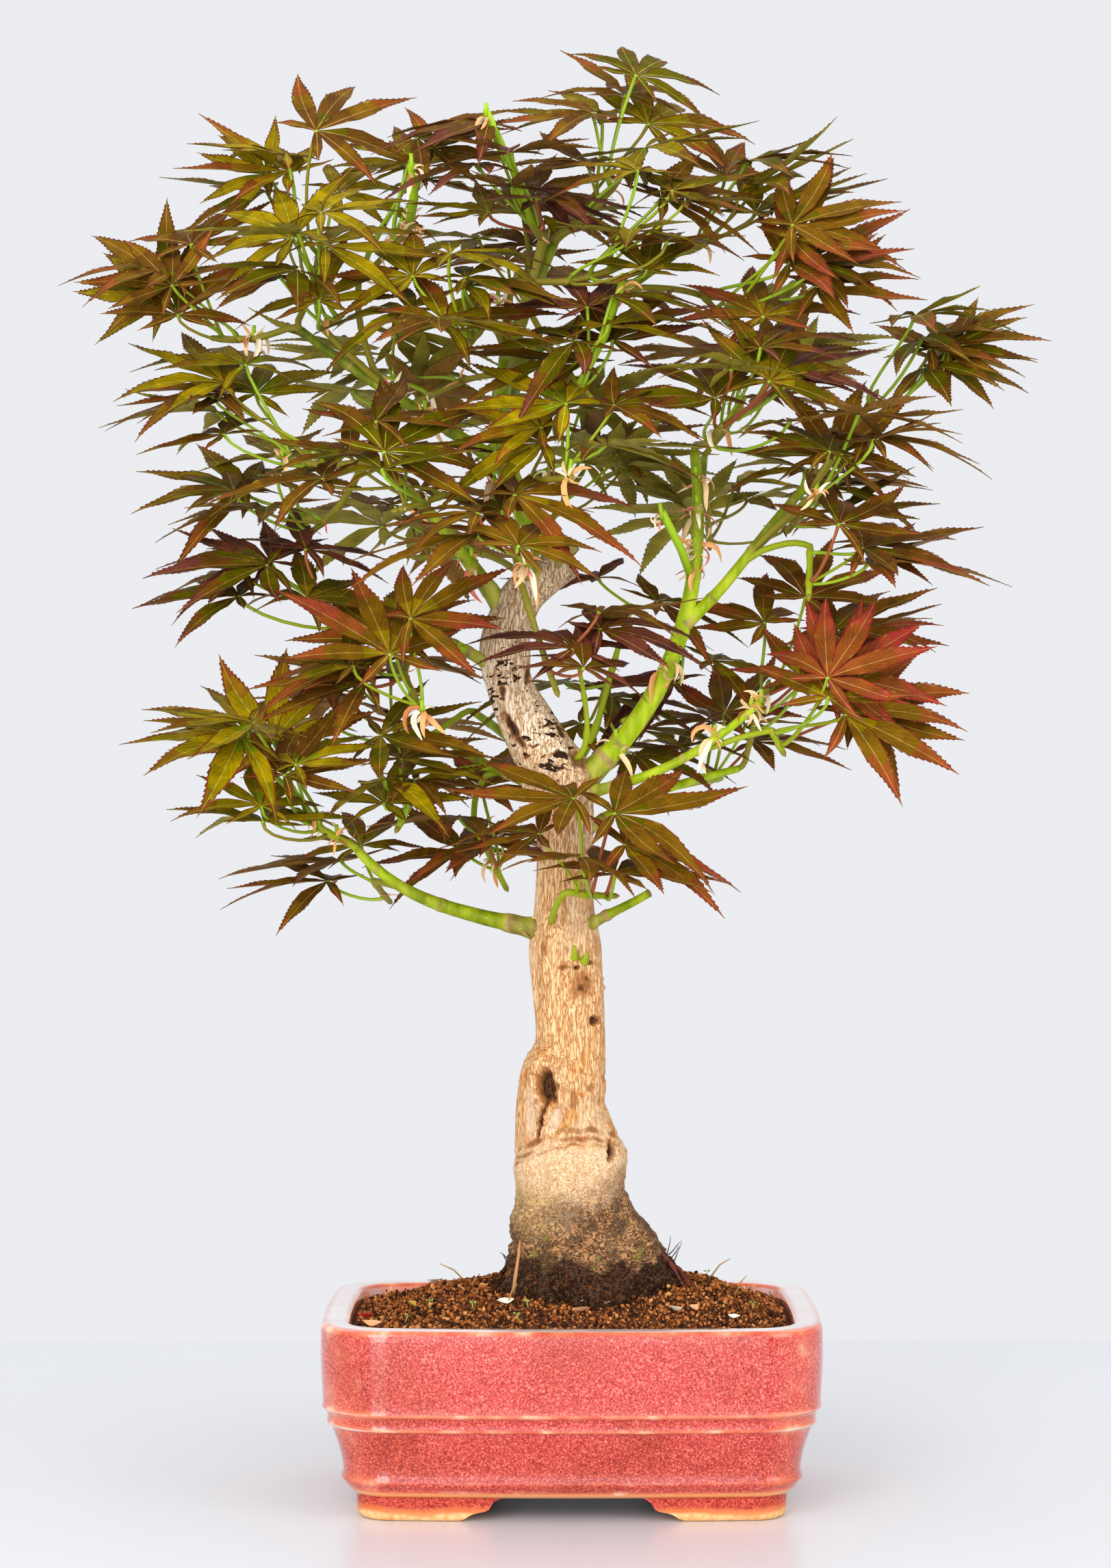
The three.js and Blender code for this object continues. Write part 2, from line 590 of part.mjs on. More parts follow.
// The free site that faces a leaf's palm best, at the leaf's own node where it can.
function bestSite(stem, place, index) {
  const points = stem.rings.flat();
  const wanted = stem.nodes - 1 - Math.floor(index / 2);
  let best = null;
  for (const site of stem.sites.filter(({ taken }) => !taken)) {
    const corners = siteCorners(site).map((i) => points[i]);
    const middle = corners[0].clone().add(corners[2]).divideScalar(2);
    const across = corners[1].clone().sub(corners[0]);
    const outward = across.cross(corners[3].clone().sub(corners[0])).normalize();
    const toPalm = place.palm.clone().sub(middle).normalize();
    const down = vec(0, 0, -1).transformDirection(place.facing);
    const faces = outward.dot(toPalm);
    const bend = -toPalm.dot(down);
    if (faces < 0.2 || bend < 0.25) continue;
    const score = faces + bend - 0.3 * Math.abs(site.node - wanted);
    if (!best || score > best.score) best = { site, corners, score };
  }
  return best;
}

// A mass in one mesh: the faces of its stem, but for the sites that its leaves grow out of.
function makeMass(stem, leaves) {
  const points = stem.rings.flat();
  const faces = [];
  const taken = new Set(leaves.map(({ site }) => site.ring * 4 + site.side));
  const last = stem.rings.length - 1;
  for (let ring = 0; ring < last; ring++) {
    for (let side = 0; side < 4; side++) {
      if (taken.has(ring * 4 + side)) continue;
      const [a, b, c, d] = siteCorners({ ring, side });
      faces.push(a, b, c, a, c, d);
    }
  }
  faces.push(2, 1, 0, 3, 2, 0);
  faces.push(last * 4, last * 4 + 1, last * 4 + 2, last * 4, last * 4 + 2, last * 4 + 3);
  for (const { place, site } of leaves) addLeaf(points, faces, place, siteCorners(site));
  return fromFaces(points, faces);
}

function isNear(points, others, clearance) {
  const limit = clearance * clearance;
  return points.some((p) =>
    others.some((q) => {
      const dx = p.x - q.x;
      const dy = p.y - q.y;
      const dz = (p.z - q.z) * flatness;
      return dx * dx + dy * dy + dz * dz < limit;
    }),
  );
}

function isOutside(mass, points) {
  return points.some((p) =>
    p.toArray().some((value, axis) => Math.abs(value - mass.at[axis]) > mass.reach[axis] + spaceMargin),
  );
}

function boxesMeet(a, b) {
  return [0, 1, 2].every((axis) => a.min[axis] <= b.max[axis] && b.min[axis] <= a.max[axis]);
}

function touchesAny(body, obstacles, allowed = 0) {
  const box = body.boundingBox();
  return obstacles.some(({ box: other, body: second }) => {
    return boxesMeet(box, other) && body.intersect(second).volume() > allowed;
  });
}

const obstacle = (body, owner) => ({ body, owner, box: body.boundingBox() });

function growMasses() {
  const limbObstacles = [...limbs.values()].map(({ cutter }) => obstacle(cutter, "limb"));
  const limbRibs = [...trunkPath];
  for (const { curve } of limbs.values()) {
    if (curve) limbRibs.push(...curve.getPoints(14).slice(1));
  }
  const grown = masses.map((mass) => ({ mass, stem: makeStem(mass), leaves: [], ribs: [] }));
  const stemObstacles = grown.map(({ stem }, index) => obstacle(stem.cutter, index));
  const leafObstacles = [];
  grown.forEach((piece, massIndex) => {
    const { mass, stem } = piece;
    const blockers = [...limbObstacles, ...stemObstacles.filter(({ owner }) => owner !== massIndex)];
    for (let index = 0; index < mass.leaves; index++) {
      for (let attempt = 0; attempt < tries; attempt++) {
        const place = leafPlace(mass, massIndex, index, attempt);
        const ribs = ribPoints(place);
        if (isOutside(mass, ribs)) continue;
        if (isNear(ribs.slice(1), limbRibs, limbClearance)) continue;
        if (isNear(ribs, piece.ribs, ownClearance)) continue;
        if (grown.some((other) => other !== piece && isNear(ribs, other.ribs, leafClearance))) continue;
        const found = bestSite(stem, place, index);
        if (!found) continue;
        const body = looseLeaf(place, found.corners);
        const others = leafObstacles.filter(({ owner }) => owner !== massIndex);
        if (touchesAny(body, [...blockers, ...others])) continue;
        const siblings = leafObstacles.filter(({ owner }) => owner === massIndex);
        if (touchesAny(body, siblings, stalkOverlap)) continue;
        found.site.taken = true;
        piece.leaves.push({ place, site: found.site });
        piece.ribs.push(...ribs);
        leafObstacles.push(obstacle(body, massIndex));
        break;
      }
    }
  });
  grown.forEach((piece, index) => {
    let body = makeMass(piece.stem, piece.leaves).subtract(limbs.get(piece.mass.on).cutter);
    grown.slice(0, index).forEach(({ mass, stem }) => {
      if (mass.on === piece.mass.on) body = body.subtract(stem.cutter);
    });
    piece.body = largest(body);
  });
  return grown;
}

growBoughs();
addPiece("pot", makePot(), "glaze");
addPiece("soil", makeSoil(), "soil");
addPiece("trunk", limbs.get("trunk").body, "bark");
for (const { name } of boughs) addPiece(name, limbs.get(name).body, "youngBark");
const grownMasses = growMasses();
for (const { mass, body } of grownMasses) addPiece(mass.name, body, "foliage");

const box = new THREE.Box3().setFromObject(tree);
tree.position.set(-(box.min.x + box.max.x) / 2, -(box.min.y + box.max.y) / 2, -box.min.z);

export default tree;
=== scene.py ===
# Bonsai Japanese maple in a red glazed pot.
# Pieces are laid out in millimetres round the middle of the pot's foot, with the front towards -Y,
# and finishPiece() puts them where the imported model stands.
import math

import bmesh
import bpy
import numpy as np
from mathutils import Matrix, Vector, noise


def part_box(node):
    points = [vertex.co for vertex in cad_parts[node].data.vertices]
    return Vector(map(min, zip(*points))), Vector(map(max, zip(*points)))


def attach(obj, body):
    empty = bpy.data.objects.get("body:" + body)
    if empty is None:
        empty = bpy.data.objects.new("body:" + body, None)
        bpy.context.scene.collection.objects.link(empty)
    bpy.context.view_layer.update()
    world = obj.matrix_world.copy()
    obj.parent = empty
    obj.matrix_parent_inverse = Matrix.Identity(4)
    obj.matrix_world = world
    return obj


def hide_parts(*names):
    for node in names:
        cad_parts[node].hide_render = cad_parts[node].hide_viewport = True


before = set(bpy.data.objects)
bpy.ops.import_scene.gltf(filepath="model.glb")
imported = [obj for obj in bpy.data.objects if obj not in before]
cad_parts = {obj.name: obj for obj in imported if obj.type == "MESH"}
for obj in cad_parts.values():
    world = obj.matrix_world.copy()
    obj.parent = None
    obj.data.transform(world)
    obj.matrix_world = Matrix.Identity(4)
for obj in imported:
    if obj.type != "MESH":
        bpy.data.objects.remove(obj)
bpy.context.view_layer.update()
potLow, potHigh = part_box("pot")
potMiddle = Vector(((potLow.x + potHigh.x) / 2, (potLow.y + potHigh.y) / 2, 0))
toFrame = Matrix.Translation(potMiddle) @ Matrix.Scale(0.001, 4)
print("frame loaded:", len(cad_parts), "nodes")


# Small helpers for meshes

def newObject(name, data):
    made = bpy.data.objects.new(name, data)
    bpy.context.scene.collection.objects.link(made)
    return made


def finishPiece(name, mesh, materials, replaced=()):
    mesh.transform(toFrame)
    for material in materials:
        mesh.materials.append(material)
    piece = newObject(name, mesh)
    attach(piece, "root")
    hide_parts(*replaced)


def meshOf(bm, name):
    bmesh.ops.recalc_face_normals(bm, faces=bm.faces)
    mesh = bpy.data.meshes.new(name)
    bm.to_mesh(mesh)
    bm.free()
    mesh.shade_smooth()
    return mesh


def startRing(bm, points):
    ring = bmesh.ops.create_circle(bm, segments=len(points), radius=1)["verts"]
    for vert, point in zip(ring, points):
        vert.co = point
    return ring


def extrudeRing(bm, ring, points):  # carries a closed ring of vertices on to new places
    edges = [bm.edges.get((ring[i - 1], ring[i])) for i in range(len(ring))]
    made = bmesh.ops.extrude_edge_only(bm, edges=edges)["geom"]
    fresh = {item for item in made if isinstance(item, bmesh.types.BMVert)}
    following = []
    for vert, point in zip(ring, points):
        carried = next(e.other_vert(vert) for e in vert.link_edges if e.other_vert(vert) in fresh)
        carried.co = point
        following.append(carried)
    return following


def capRing(bm, ring):
    bmesh.ops.contextual_create(bm, geom=ring)


def joinParts(name, parts, uvName=None):
    # parts: points, triangles, tint of each triangle, and where asked the uv of each point
    points, faces, tints, uvs, start = [], [], [], [], 0
    for part in parts:
        points.append(part[0])
        faces.append(part[1] + start)
        tints.append(part[2])
        if uvName:
            uvs.append(part[3])
        start += len(part[0])
    points, faces, tints = np.concatenate(points), np.concatenate(faces), np.concatenate(tints)
    corners = points[faces]
    areas = np.linalg.norm(np.cross(corners[:, 1] - corners[:, 0], corners[:, 2] - corners[:, 0]), axis=1)
    faces, tints = faces[areas > 0.0005], tints[areas > 0.0005]
    mesh = bpy.data.meshes.new(name)
    mesh.from_pydata(points.tolist(), [], faces.tolist())
    mesh.polygons.foreach_set("material_index", tints.astype(np.int32))
    if uvName:
        layer = mesh.uv_layers.new(name=uvName)
        layer.data.foreach_set("uv", np.concatenate(uvs)[faces.ravel()].ravel().astype(np.float32))
    mesh.shade_smooth()
    return mesh


def seeded(seed):
    state = seed & 0xFFFFFFFF

    def draw():
        nonlocal state
        state = (state + 0x6D2B79F5) & 0xFFFFFFFF
        t = ((state ^ (state >> 15)) * (state | 1)) & 0xFFFFFFFF
        t = ((t + (((t ^ (t >> 7)) * (t | 61)) & 0xFFFFFFFF)) & 0xFFFFFFFF) ^ t
        return ((t ^ (t >> 14)) & 0xFFFFFFFF) / 4294967296

    return draw


def unit(vector):
    return vector / max(np.linalg.norm(vector), 1e-9)


def between(first, second, share):
    return first + (second - first) * share


def around(sides):
    return np.arange(sides) / sides * math.tau


def framesAlong(route):  # two directions square to the route at each point, turning as little as they can
    across, frames = np.array([1.0, 0, 0]), []
    for i in range(len(route)):
        ahead = unit(route[min(i + 1, len(route) - 1)] - route[max(i - 1, 0)])
        if i == 0 and abs(ahead[0]) > 0.9:
            across = np.array([0, 1.0, 0])
        across = unit(across - ahead * across.dot(ahead))
        frames.append((across, np.cross(ahead, across)))
    return frames


def bezier(points, share):
    points = [np.array(p, float) for p in points]
    while len(points) > 1:
        points = [between(a, b, share) for a, b in zip(points, points[1:])]
    return points[0]


def ringsAlong(route, radii, sides):
    cosines, sines = np.cos(around(sides)), np.sin(around(sides))
    return [
        point + radius * (np.outer(cosines, across) + np.outer(sines, other))
        for point, radius, (across, other) in zip(route, radii, framesAlong(route))
    ]


def tubePart(route, radii, sides, tint=0):
    route = np.array(route, float)
    rings = ringsAlong(route, radii, sides)
    count = len(route)
    faces = []
    for r in range(count - 1):
        for i in range(sides):
            a, b = r * sides + i, r * sides + (i + 1) % sides
            faces += [(a, b, b + sides), (a, b + sides, a + sides)]
    low, high = count * sides, count * sides + 1
    for i in range(sides):
        j = (i + 1) % sides
        faces += [(low, j, i), (high, (count - 1) * sides + i, (count - 1) * sides + j)]
    points = np.concatenate([*rings, route[:1], route[-1:]])
    return points, np.array(faces), np.full(len(faces), tint)


# Small helpers for materials

def tone(red, green, blue):  # every colour is given in screen values from 0 to 255
    return tuple(((c / 255 + 0.055) / 1.055) ** 2.4 if c > 10 else c / 3294.6 for c in (red, green, blue))


def newMaterial(name, color, roughness, specular=0.5, coat=0.0):
    material = bpy.data.materials.new(name)
    material.use_nodes = True
    shader = material.node_tree.nodes["Principled BSDF"]
    shader.inputs["Base Color"].default_value = (*tone(*color), 1)
    shader.inputs["Roughness"].default_value = roughness
    shader.inputs["Specular IOR Level"].default_value = specular
    shader.inputs["Coat Weight"].default_value = coat
    return material


def addNode(material, kind, sockets={}, **settings):
    node = material.node_tree.nodes.new(kind)
    for key, value in settings.items():
        setattr(node, key, value)
    for key, value in sockets.items():
        if isinstance(value, bpy.types.NodeSocket):
            material.node_tree.links.new(value, node.inputs[key])
        else:
            node.inputs[key].default_value = value
    return node


def coordinates(material, stretch=(1, 1, 1)):
    place = addNode(material, "ShaderNodeTexCoord").outputs["Object"]
    return addNode(material, "ShaderNodeMapping", {"Vector": place, "Scale": stretch}).outputs[0]


def noiseOf(material, scale, detail=3, stretch=(1, 1, 1), distortion=0.0):
    values = {"Vector": coordinates(material, stretch), "Scale": scale, "Detail": detail, "Distortion": distortion}
    return addNode(material, "ShaderNodeTexNoise", values).outputs["Fac"]


def rampOf(material, amount, stops):
    ramp = addNode(material, "ShaderNodeValToRGB", {"Fac": amount})
    elements = ramp.color_ramp.elements
    while len(elements) < len(stops):
        elements.new(0.5)
    for element, (place, color) in zip(elements, stops):
        element.position = place
        element.color = (*tone(*color), 1)
    return ramp.outputs["Color"]


def mixOf(material, amount, first, second):
    node = addNode(material, "ShaderNodeMix", data_type="RGBA")
    for index, value in ((0, amount), (6, first), (7, second)):
        if isinstance(value, bpy.types.NodeSocket):
            material.node_tree.links.new(value, node.inputs[index])
        else:
            node.inputs[index].default_value = value if index == 0 else (*tone(*value), 1)
    return node.outputs[2]


def rangeOf(material, value, low, high, newLow=0.0, newHigh=1.0):
    sockets = {"Value": value, "From Min": low, "From Max": high, "To Min": newLow, "To Max": newHigh}
    return addNode(material, "ShaderNodeMapRange", sockets).outputs[0]


def mathOf(material, operation, first, second=0.0):
    return addNode(material, "ShaderNodeMath", {0: first, 1: second}, operation=operation).outputs[0]


def attributeOf(material, name):
    return addNode(material, "ShaderNodeAttribute", attribute_name=name).outputs["Fac"]


def placeOf(material, axis):
    place = addNode(material, "ShaderNodeTexCoord").outputs["Object"]
    return addNode(material, "ShaderNodeSeparateXYZ", {0: place}).outputs[axis]


def layOver(material, under, over, value, low, high, most=1.0):  # a colour fades in as the value goes from low to high
    return mixOf(material, rangeOf(material, value, low, high, 0, most), under, over)


def faded(material, amount, value, low, high, newLow=0.0, newHigh=1.0):  # an amount that comes in with another value
    return mathOf(material, "MULTIPLY", amount, rangeOf(material, value, low, high, newLow, newHigh))


def waved(material, value, wave, down, up):  # the noise shifts a value by down to up
    return mathOf(material, "ADD", value, rangeOf(material, wave, 0.3, 0.7, down, up))


def dress(material, color=None, roughness=None, bumps=()):
    # links a colour and a roughness, and lays bumps (height, strength, depth in metres) over each other
    shader = material.node_tree.nodes["Principled BSDF"]
    links = material.node_tree.links
    if color is not None:
        links.new(color, shader.inputs["Base Color"])
    if roughness is not None:
        links.new(roughness, shader.inputs["Roughness"])
    normal = None
    for height, strength, depth in bumps:
        sockets = {"Height": height, "Strength": strength, "Distance": depth}
        if normal is not None:
            sockets["Normal"] = normal
        normal = addNode(material, "ShaderNodeBump", sockets).outputs[0]
    if normal is not None:
        links.new(normal, shader.inputs["Normal"])
    return material


def makeTints(tones, roughness, specular, grain, strength, depth):  # a plain tint for each name, over one fine bump
    tints = []
    for name, color in tones.items():
        tint = newMaterial(name, color, roughness, specular)
        tints.append(dress(tint, bumps=[(noiseOf(tint, *grain), strength, depth)]))
    return tints


def numbered(name, tones):
    return {f"{name}{i}": color for i, color in enumerate(tones)}


# Floor, camera and light

stageValues = {
    "cameraFromPot": (-6.8, -1438.5, 305.3),
    "lens": 76.6,
    "sensor": 36,
    "floorTone": (222, 224, 227),
    "floorSize": 3400,
    "floorBack": 392,  # the floor ends this far behind the pot's middle
    "skyTone": (241, 242, 246),
    "skyStrength": 0.95,
    "lights": [  # name, place, what it points at, width, watts
        ("key", (-790, -1590, 1000), (0, 0, 330), 900, 13),
        ("window", (-620, -1420, 282), (0, 0, 282), 540, 5),
        ("fill", (1300, -1100, 800), (0, 0, 300), 1000, 8.5),
        ("top", (0, 100, 1900), (0, 0, 300), 1300, 4),
        ("front", (100, -2500, 700), (0, 0, 300), 2000, 20),
    ],
}


def buildStage():
    scene = bpy.context.scene
    scene.view_settings.view_transform = "Standard"
    cameraData = bpy.data.cameras.new("camera")
    cameraData.lens = stageValues["lens"]
    cameraData.sensor_width = stageValues["sensor"]
    scene.camera = newObject("camera", cameraData)
    scene.camera.location = toFrame @ Vector(stageValues["cameraFromPot"])
    scene.camera.rotation_euler = (math.pi / 2, 0, 0)

    half = stageValues["floorSize"] / 2
    bm = bmesh.new()
    bmesh.ops.create_grid(bm, x_segments=2, y_segments=2, size=half)
    bmesh.ops.translate(bm, verts=bm.verts, vec=(0, stageValues["floorBack"] - half, 0))
    floorMesh = meshOf(bm, "floor")
    floorMesh.transform(toFrame)
    paper = newMaterial("floorWhite", stageValues["floorTone"], 0.26, 0.35)
    floorMesh.materials.append(paper)
    newObject("floor", floorMesh)

    for name, place, target, width, watts in stageValues["lights"]:
        lamp = bpy.data.lights.new(name, "AREA")
        lamp.size = width / 1000
        lamp.energy = watts
        light = newObject(name, lamp)
        light.location = toFrame @ Vector(place)
        aim = toFrame @ Vector(target) - light.location
        light.rotation_euler = aim.to_track_quat("-Z", "Y").to_euler()

    world = bpy.data.worlds.new("studio")
    world.use_nodes = True
    sky = world.node_tree.nodes["Background"]
    sky.inputs["Color"].default_value = (*tone(*stageValues["skyTone"]), 1)
    sky.inputs["Strength"].default_value = stageValues["skyStrength"]
    scene.world = world


buildStage()
print("stage ready")


# The pot

potValues = {
    "width": 210,
    "depth": 147,
    "height": 81.1,
    "cornerRadius": 30,
    "sideBow": 2.2,
    "rimWidth": 12.5,
    "floorHeight": 20,
    "floorInset": 19,
    "bodyBottom": 10.4,
    "footInset": 15,
    "footThickness": 13,
    "footCut": (30, 46),  # half the opening between two front feet, at its top and at the floor
    "sideCut": (12, 26),
    # edge of that cloud-shaped opening: share of the way out to its width at the floor, height
    "cutShape": [
        (1, -2), (1, 0.7), (0.88, 1.5), (0.76, 2.9), (0.6, 3.8), (0.38, 4.5), (0.27, 5.4), (0.22, 6.8), (0.17, 8.2),
        (0.06, 9.4),
    ],
    "footWall": [(3.2, 0), (1.9, 0.35), (1.0, 1.2), (0.5, 2.6), (0.3, 6), (0.1, 9)],  # inset past footInset, height
    "cornerSteps": 14,
    "frontSteps": 26,
    "sideSteps": 16,
    # outer wall from the bottom up: inset, height, how thin the glaze runs there; above 1.1 the flat of the rim takes a
    # painted reflection
    "wall": [
        (15.2, 10.4, 1), (13.4, 10.7, 1), (12.2, 11.8, 1), (11.0, 13.4, 0.55), (10.0, 14.9, 0.1),
        (8.8, 16.2, 0.3), (8.5, 17.4, 0.45), (9.0, 18.6, 0.2), (9.5, 20.2, 0.05), (8.9, 24.0, 0),
        (8.0, 28.0, 0), (6.8, 32.0, 0), (5.6, 35.0, 0), (4.7, 37.6, 0.05), (4.1, 38.8, 0.3),
        (3.0, 39.3, 0.95), (2.6, 39.9, 0.95), (2.7, 40.6, 0.4), (2.9, 41.6, 0.15), (2.8, 43.4, 0.1),
        (2.3, 44.8, 0.25), (1.4, 45.3, 0.75), (0.6, 45.9, 1), (0.45, 46.5, 0.9), (0.7, 47.2, 0.35),
        (0.9, 48.4, 0.05), (0.6, 54.0, 0), (0.2, 60.0, 0), (0.0, 66.0, 0), (0.0, 72.0, 0),
        (0.05, 76.4, 0), (0.2, 78.4, 0.1), (0.5, 79.6, 0.55), (1.1, 80.45, 0.8), (2.0, 80.95, 1.2),
        (3.6, 81.1, 1.5), (6.0, 81.15, 1.8), (9.0, 81.15, 1.8), (11.0, 80.9, 1.3), (12.1, 80.2, 1),
        (12.6, 79.0, 0.9),
    ],
}


def potRing(inset, z, scale=1.0):
    halfWidth = potValues["width"] / 2 - inset
    halfDepth = potValues["depth"] / 2 - inset
    radius = max(potValues["cornerRadius"] - inset, 8)
    flatX, flatY = halfWidth - radius, halfDepth - radius
    bow, steps = potValues["sideBow"], potValues["cornerSteps"]
    ring = []
    for quarter, (sideX, sideY) in enumerate(((1, 1), (-1, 1), (-1, -1), (1, -1))):
        for i in range(steps + 1):
            angle = (quarter + i / steps) * math.pi / 2
            ring.append((sideX * flatX + radius * math.cos(angle), sideY * flatY + radius * math.sin(angle)))
        if quarter % 2 == 0:
            for i in range(1, potValues["frontSteps"]):
                x = 1 - 2 * i / potValues["frontSteps"]
                ring.append((x * flatX * sideY, sideY * (halfDepth + bow * (1 - x * x))))
        else:
            for i in range(1, potValues["sideSteps"]):
                y = 1 - 2 * i / potValues["sideSteps"]
                ring.append((sideX * (halfWidth + bow / 2 * (1 - y * y)), -y * flatY * sideX))
    return [Vector((x * scale, y * scale, z)) for x, y in ring]


def innerInset(z):
    top = potValues["height"] - 1.2
    share = (top - min(z, top)) / (top - potValues["floorHeight"])
    return potValues["rimWidth"] + share * (potValues["floorInset"] - potValues["rimWidth"])


def buildPotBody():
    bm = bmesh.new()
    thin = bm.verts.layers.float.new("thinGlazeAndPaintedLight")
    wall = potValues["wall"]
    ring = startRing(bm, potRing(*wall[0][:2]))
    for vert in ring:
        vert[thin] = wall[0][2]
    capRing(bm, ring)
    for inset, z, thinness in wall[1:]:
        ring = extrudeRing(bm, ring, potRing(inset, z))
        # the orange round the corners is partly thinner glaze and partly a painted highlight
        for vert in ring:  # thinner round the corners too
            beyondX = abs(vert.co.x) - potValues["width"] / 2 + potValues["cornerRadius"]
            beyondY = abs(vert.co.y) - potValues["depth"] / 2 + potValues["cornerRadius"]
            corner = math.sin(2 * math.atan2(max(0, beyondY), max(0.01, beyondX)))
            vert[thin] = thinness + 0.45 * corner if thinness < 1 else thinness
    for z in (60, 40, potValues["floorHeight"]):
        ring = extrudeRing(bm, ring, potRing(innerInset(z), z))
    capRing(bm, ring)
    # the bottom faces take the second material: painted shade, near-black for the shadow under the pot
    for face in bm.faces:
        if face.calc_center_median().z < potValues["bodyBottom"] + 0.05:
            face.material_index = 1
    return meshOf(bm, "pot_body")


def footCutter(halfTop, halfBottom, length, turned):
    half = [(halfTop + share * (halfBottom - halfTop), z) for share, z in potValues["cutShape"]] + [(halfTop - 1, 10.3)]
    outline = half + [(-x, z) for x, z in reversed(half)]
    bm = bmesh.new()
    verts = [bm.verts.new((x, -length / 2, z)) for x, z in outline]
    face = bm.faces.new(verts)
    made = bmesh.ops.extrude_face_region(bm, geom=[face])["geom"]
    moved = [item for item in made if isinstance(item, bmesh.types.BMVert)]
    bmesh.ops.translate(bm, verts=moved, vec=(0, length, 0))
    if turned:
        bmesh.ops.rotate(bm, verts=bm.verts, matrix=Matrix.Rotation(math.pi / 2, 3, "Z"))
    return newObject("cutter", meshOf(bm, "cutter"))


def buildPotFeet():
    inset, thick, top = potValues["footInset"], potValues["footThickness"], potValues["bodyBottom"] + 0.6
    bm = bmesh.new()
    wall = [*potValues["footWall"], (-0.3, top), (thick, top), (thick - 0.2, 1), (thick - 1.2, 0)]
    ring = first = startRing(bm, potRing(inset + wall[0][0], 0))
    for more, z in wall[1:]:
        ring = extrudeRing(bm, ring, potRing(inset + more, z))
    edges = [bm.edges.get((r[i - 1], r[i])) for r in (ring, first) for i in range(len(r))]
    bmesh.ops.bridge_loops(bm, edges=edges)
    strip = newObject("strip", meshOf(bm, "strip"))
    cutters = [footCutter(*potValues["footCut"], 400, False), footCutter(*potValues["sideCut"], 400, True)]
    for cutter in cutters:
        cut = strip.modifiers.new("cut", "BOOLEAN")
        cut.operation, cut.solver, cut.object = "DIFFERENCE", "EXACT", cutter
    graph = bpy.context.evaluated_depsgraph_get()
    mesh = bpy.data.meshes.new_from_object(strip.evaluated_get(graph))
    for spare in (strip, *cutters):
        bpy.data.objects.remove(spare)
    mesh.name = "pot_feet"
    mesh.materials.clear()
    mesh.shade_smooth()
    mesh.set_sharp_from_angle(angle=math.radians(40))
    return mesh


def makeGlaze():
    glaze = newMaterial("redGlaze", (200, 78, 80), 0.3, 0.15, 1.0)
    glaze.node_tree.nodes["Principled BSDF"].inputs["Coat Roughness"].default_value = 0.04
    worms = noiseOf(glaze, 1250, 3, distortion=0.7)
    cloud = noiseOf(glaze, 22, 4)
    speckle = rampOf(glaze, worms, [
        (0.35, (156, 24, 20)), (0.44, (182, 42, 34)), (0.52, (207, 72, 62)),
        (0.60, (225, 102, 93)), (0.70, (243, 148, 136)),
    ])
    darker = rampOf(glaze, worms, [
        (0.37, (124, 24, 12)), (0.45, (158, 42, 26)), (0.54, (190, 62, 42)), (0.66, (220, 104, 78)),
    ])
    # painted shade: the glaze turns darker towards the bottom, where the wall faces down
    paintedLowShade = rangeOf(glaze, placeOf(glaze, "Z"), 0.050, 0.022, 0, 0.55)
    body = mixOf(glaze, mathOf(glaze, "ADD", rangeOf(glaze, cloud, 0.50, 0.66, 0, 0.7), paintedLowShade), speckle, darker)
    # the glaze runs thin and orange over every edge, its cream end partly a painted highlight, and the flat of the rim
    # is painted pinkish white as a painted reflection
    edgeNoise = noiseOf(glaze, 90, 3)
    thinGlazeAndPaintedLight = attributeOf(glaze, "thinGlazeAndPaintedLight")
    thin = faded(glaze, thinGlazeAndPaintedLight, edgeNoise, 0.3, 0.7, 0.8, 1.15)
    # the cream end of this orange is partly a painted highlight along the edges and ridges
    orange = rampOf(glaze, edgeNoise, [(0.35, (216, 94, 60)), (0.55, (234, 134, 92)), (0.72, (252, 204, 168))])
    color = layOver(glaze, body, orange, thin, 0.3, 0.9, 0.9)
    # painted reflection: the flat of the rim is painted pinkish white, as the bright surroundings mirrored in the glaze
    paintedRimReflection = rampOf(glaze, noiseOf(glaze, 55, 4), [(0.35, (228, 206, 202)), (0.65, (246, 234, 232))])
    color = layOver(glaze, color, paintedRimReflection, thinGlazeAndPaintedLight, 1.1, 1.6)
    # bare clay along the lower edge, between the feet
    edge = waved(glaze, placeOf(glaze, "Z"), edgeNoise, -0.0005, 0.0008)
    color = layOver(glaze, color, (232, 158, 92), edge, 0.0131, 0.0121, 0.95)
    return dress(glaze, color, rangeOf(glaze, cloud, 0.35, 0.7, 0.12, 0.24), [
        (worms, rangeOf(glaze, thinGlazeAndPaintedLight, 0.9, 1.5, 0.12, 0.01), 0.0002),
        (noiseOf(glaze, 210, 2), rangeOf(glaze, thinGlazeAndPaintedLight, 0.9, 1.5, 0.12, 0.03), 0.0006),
    ])


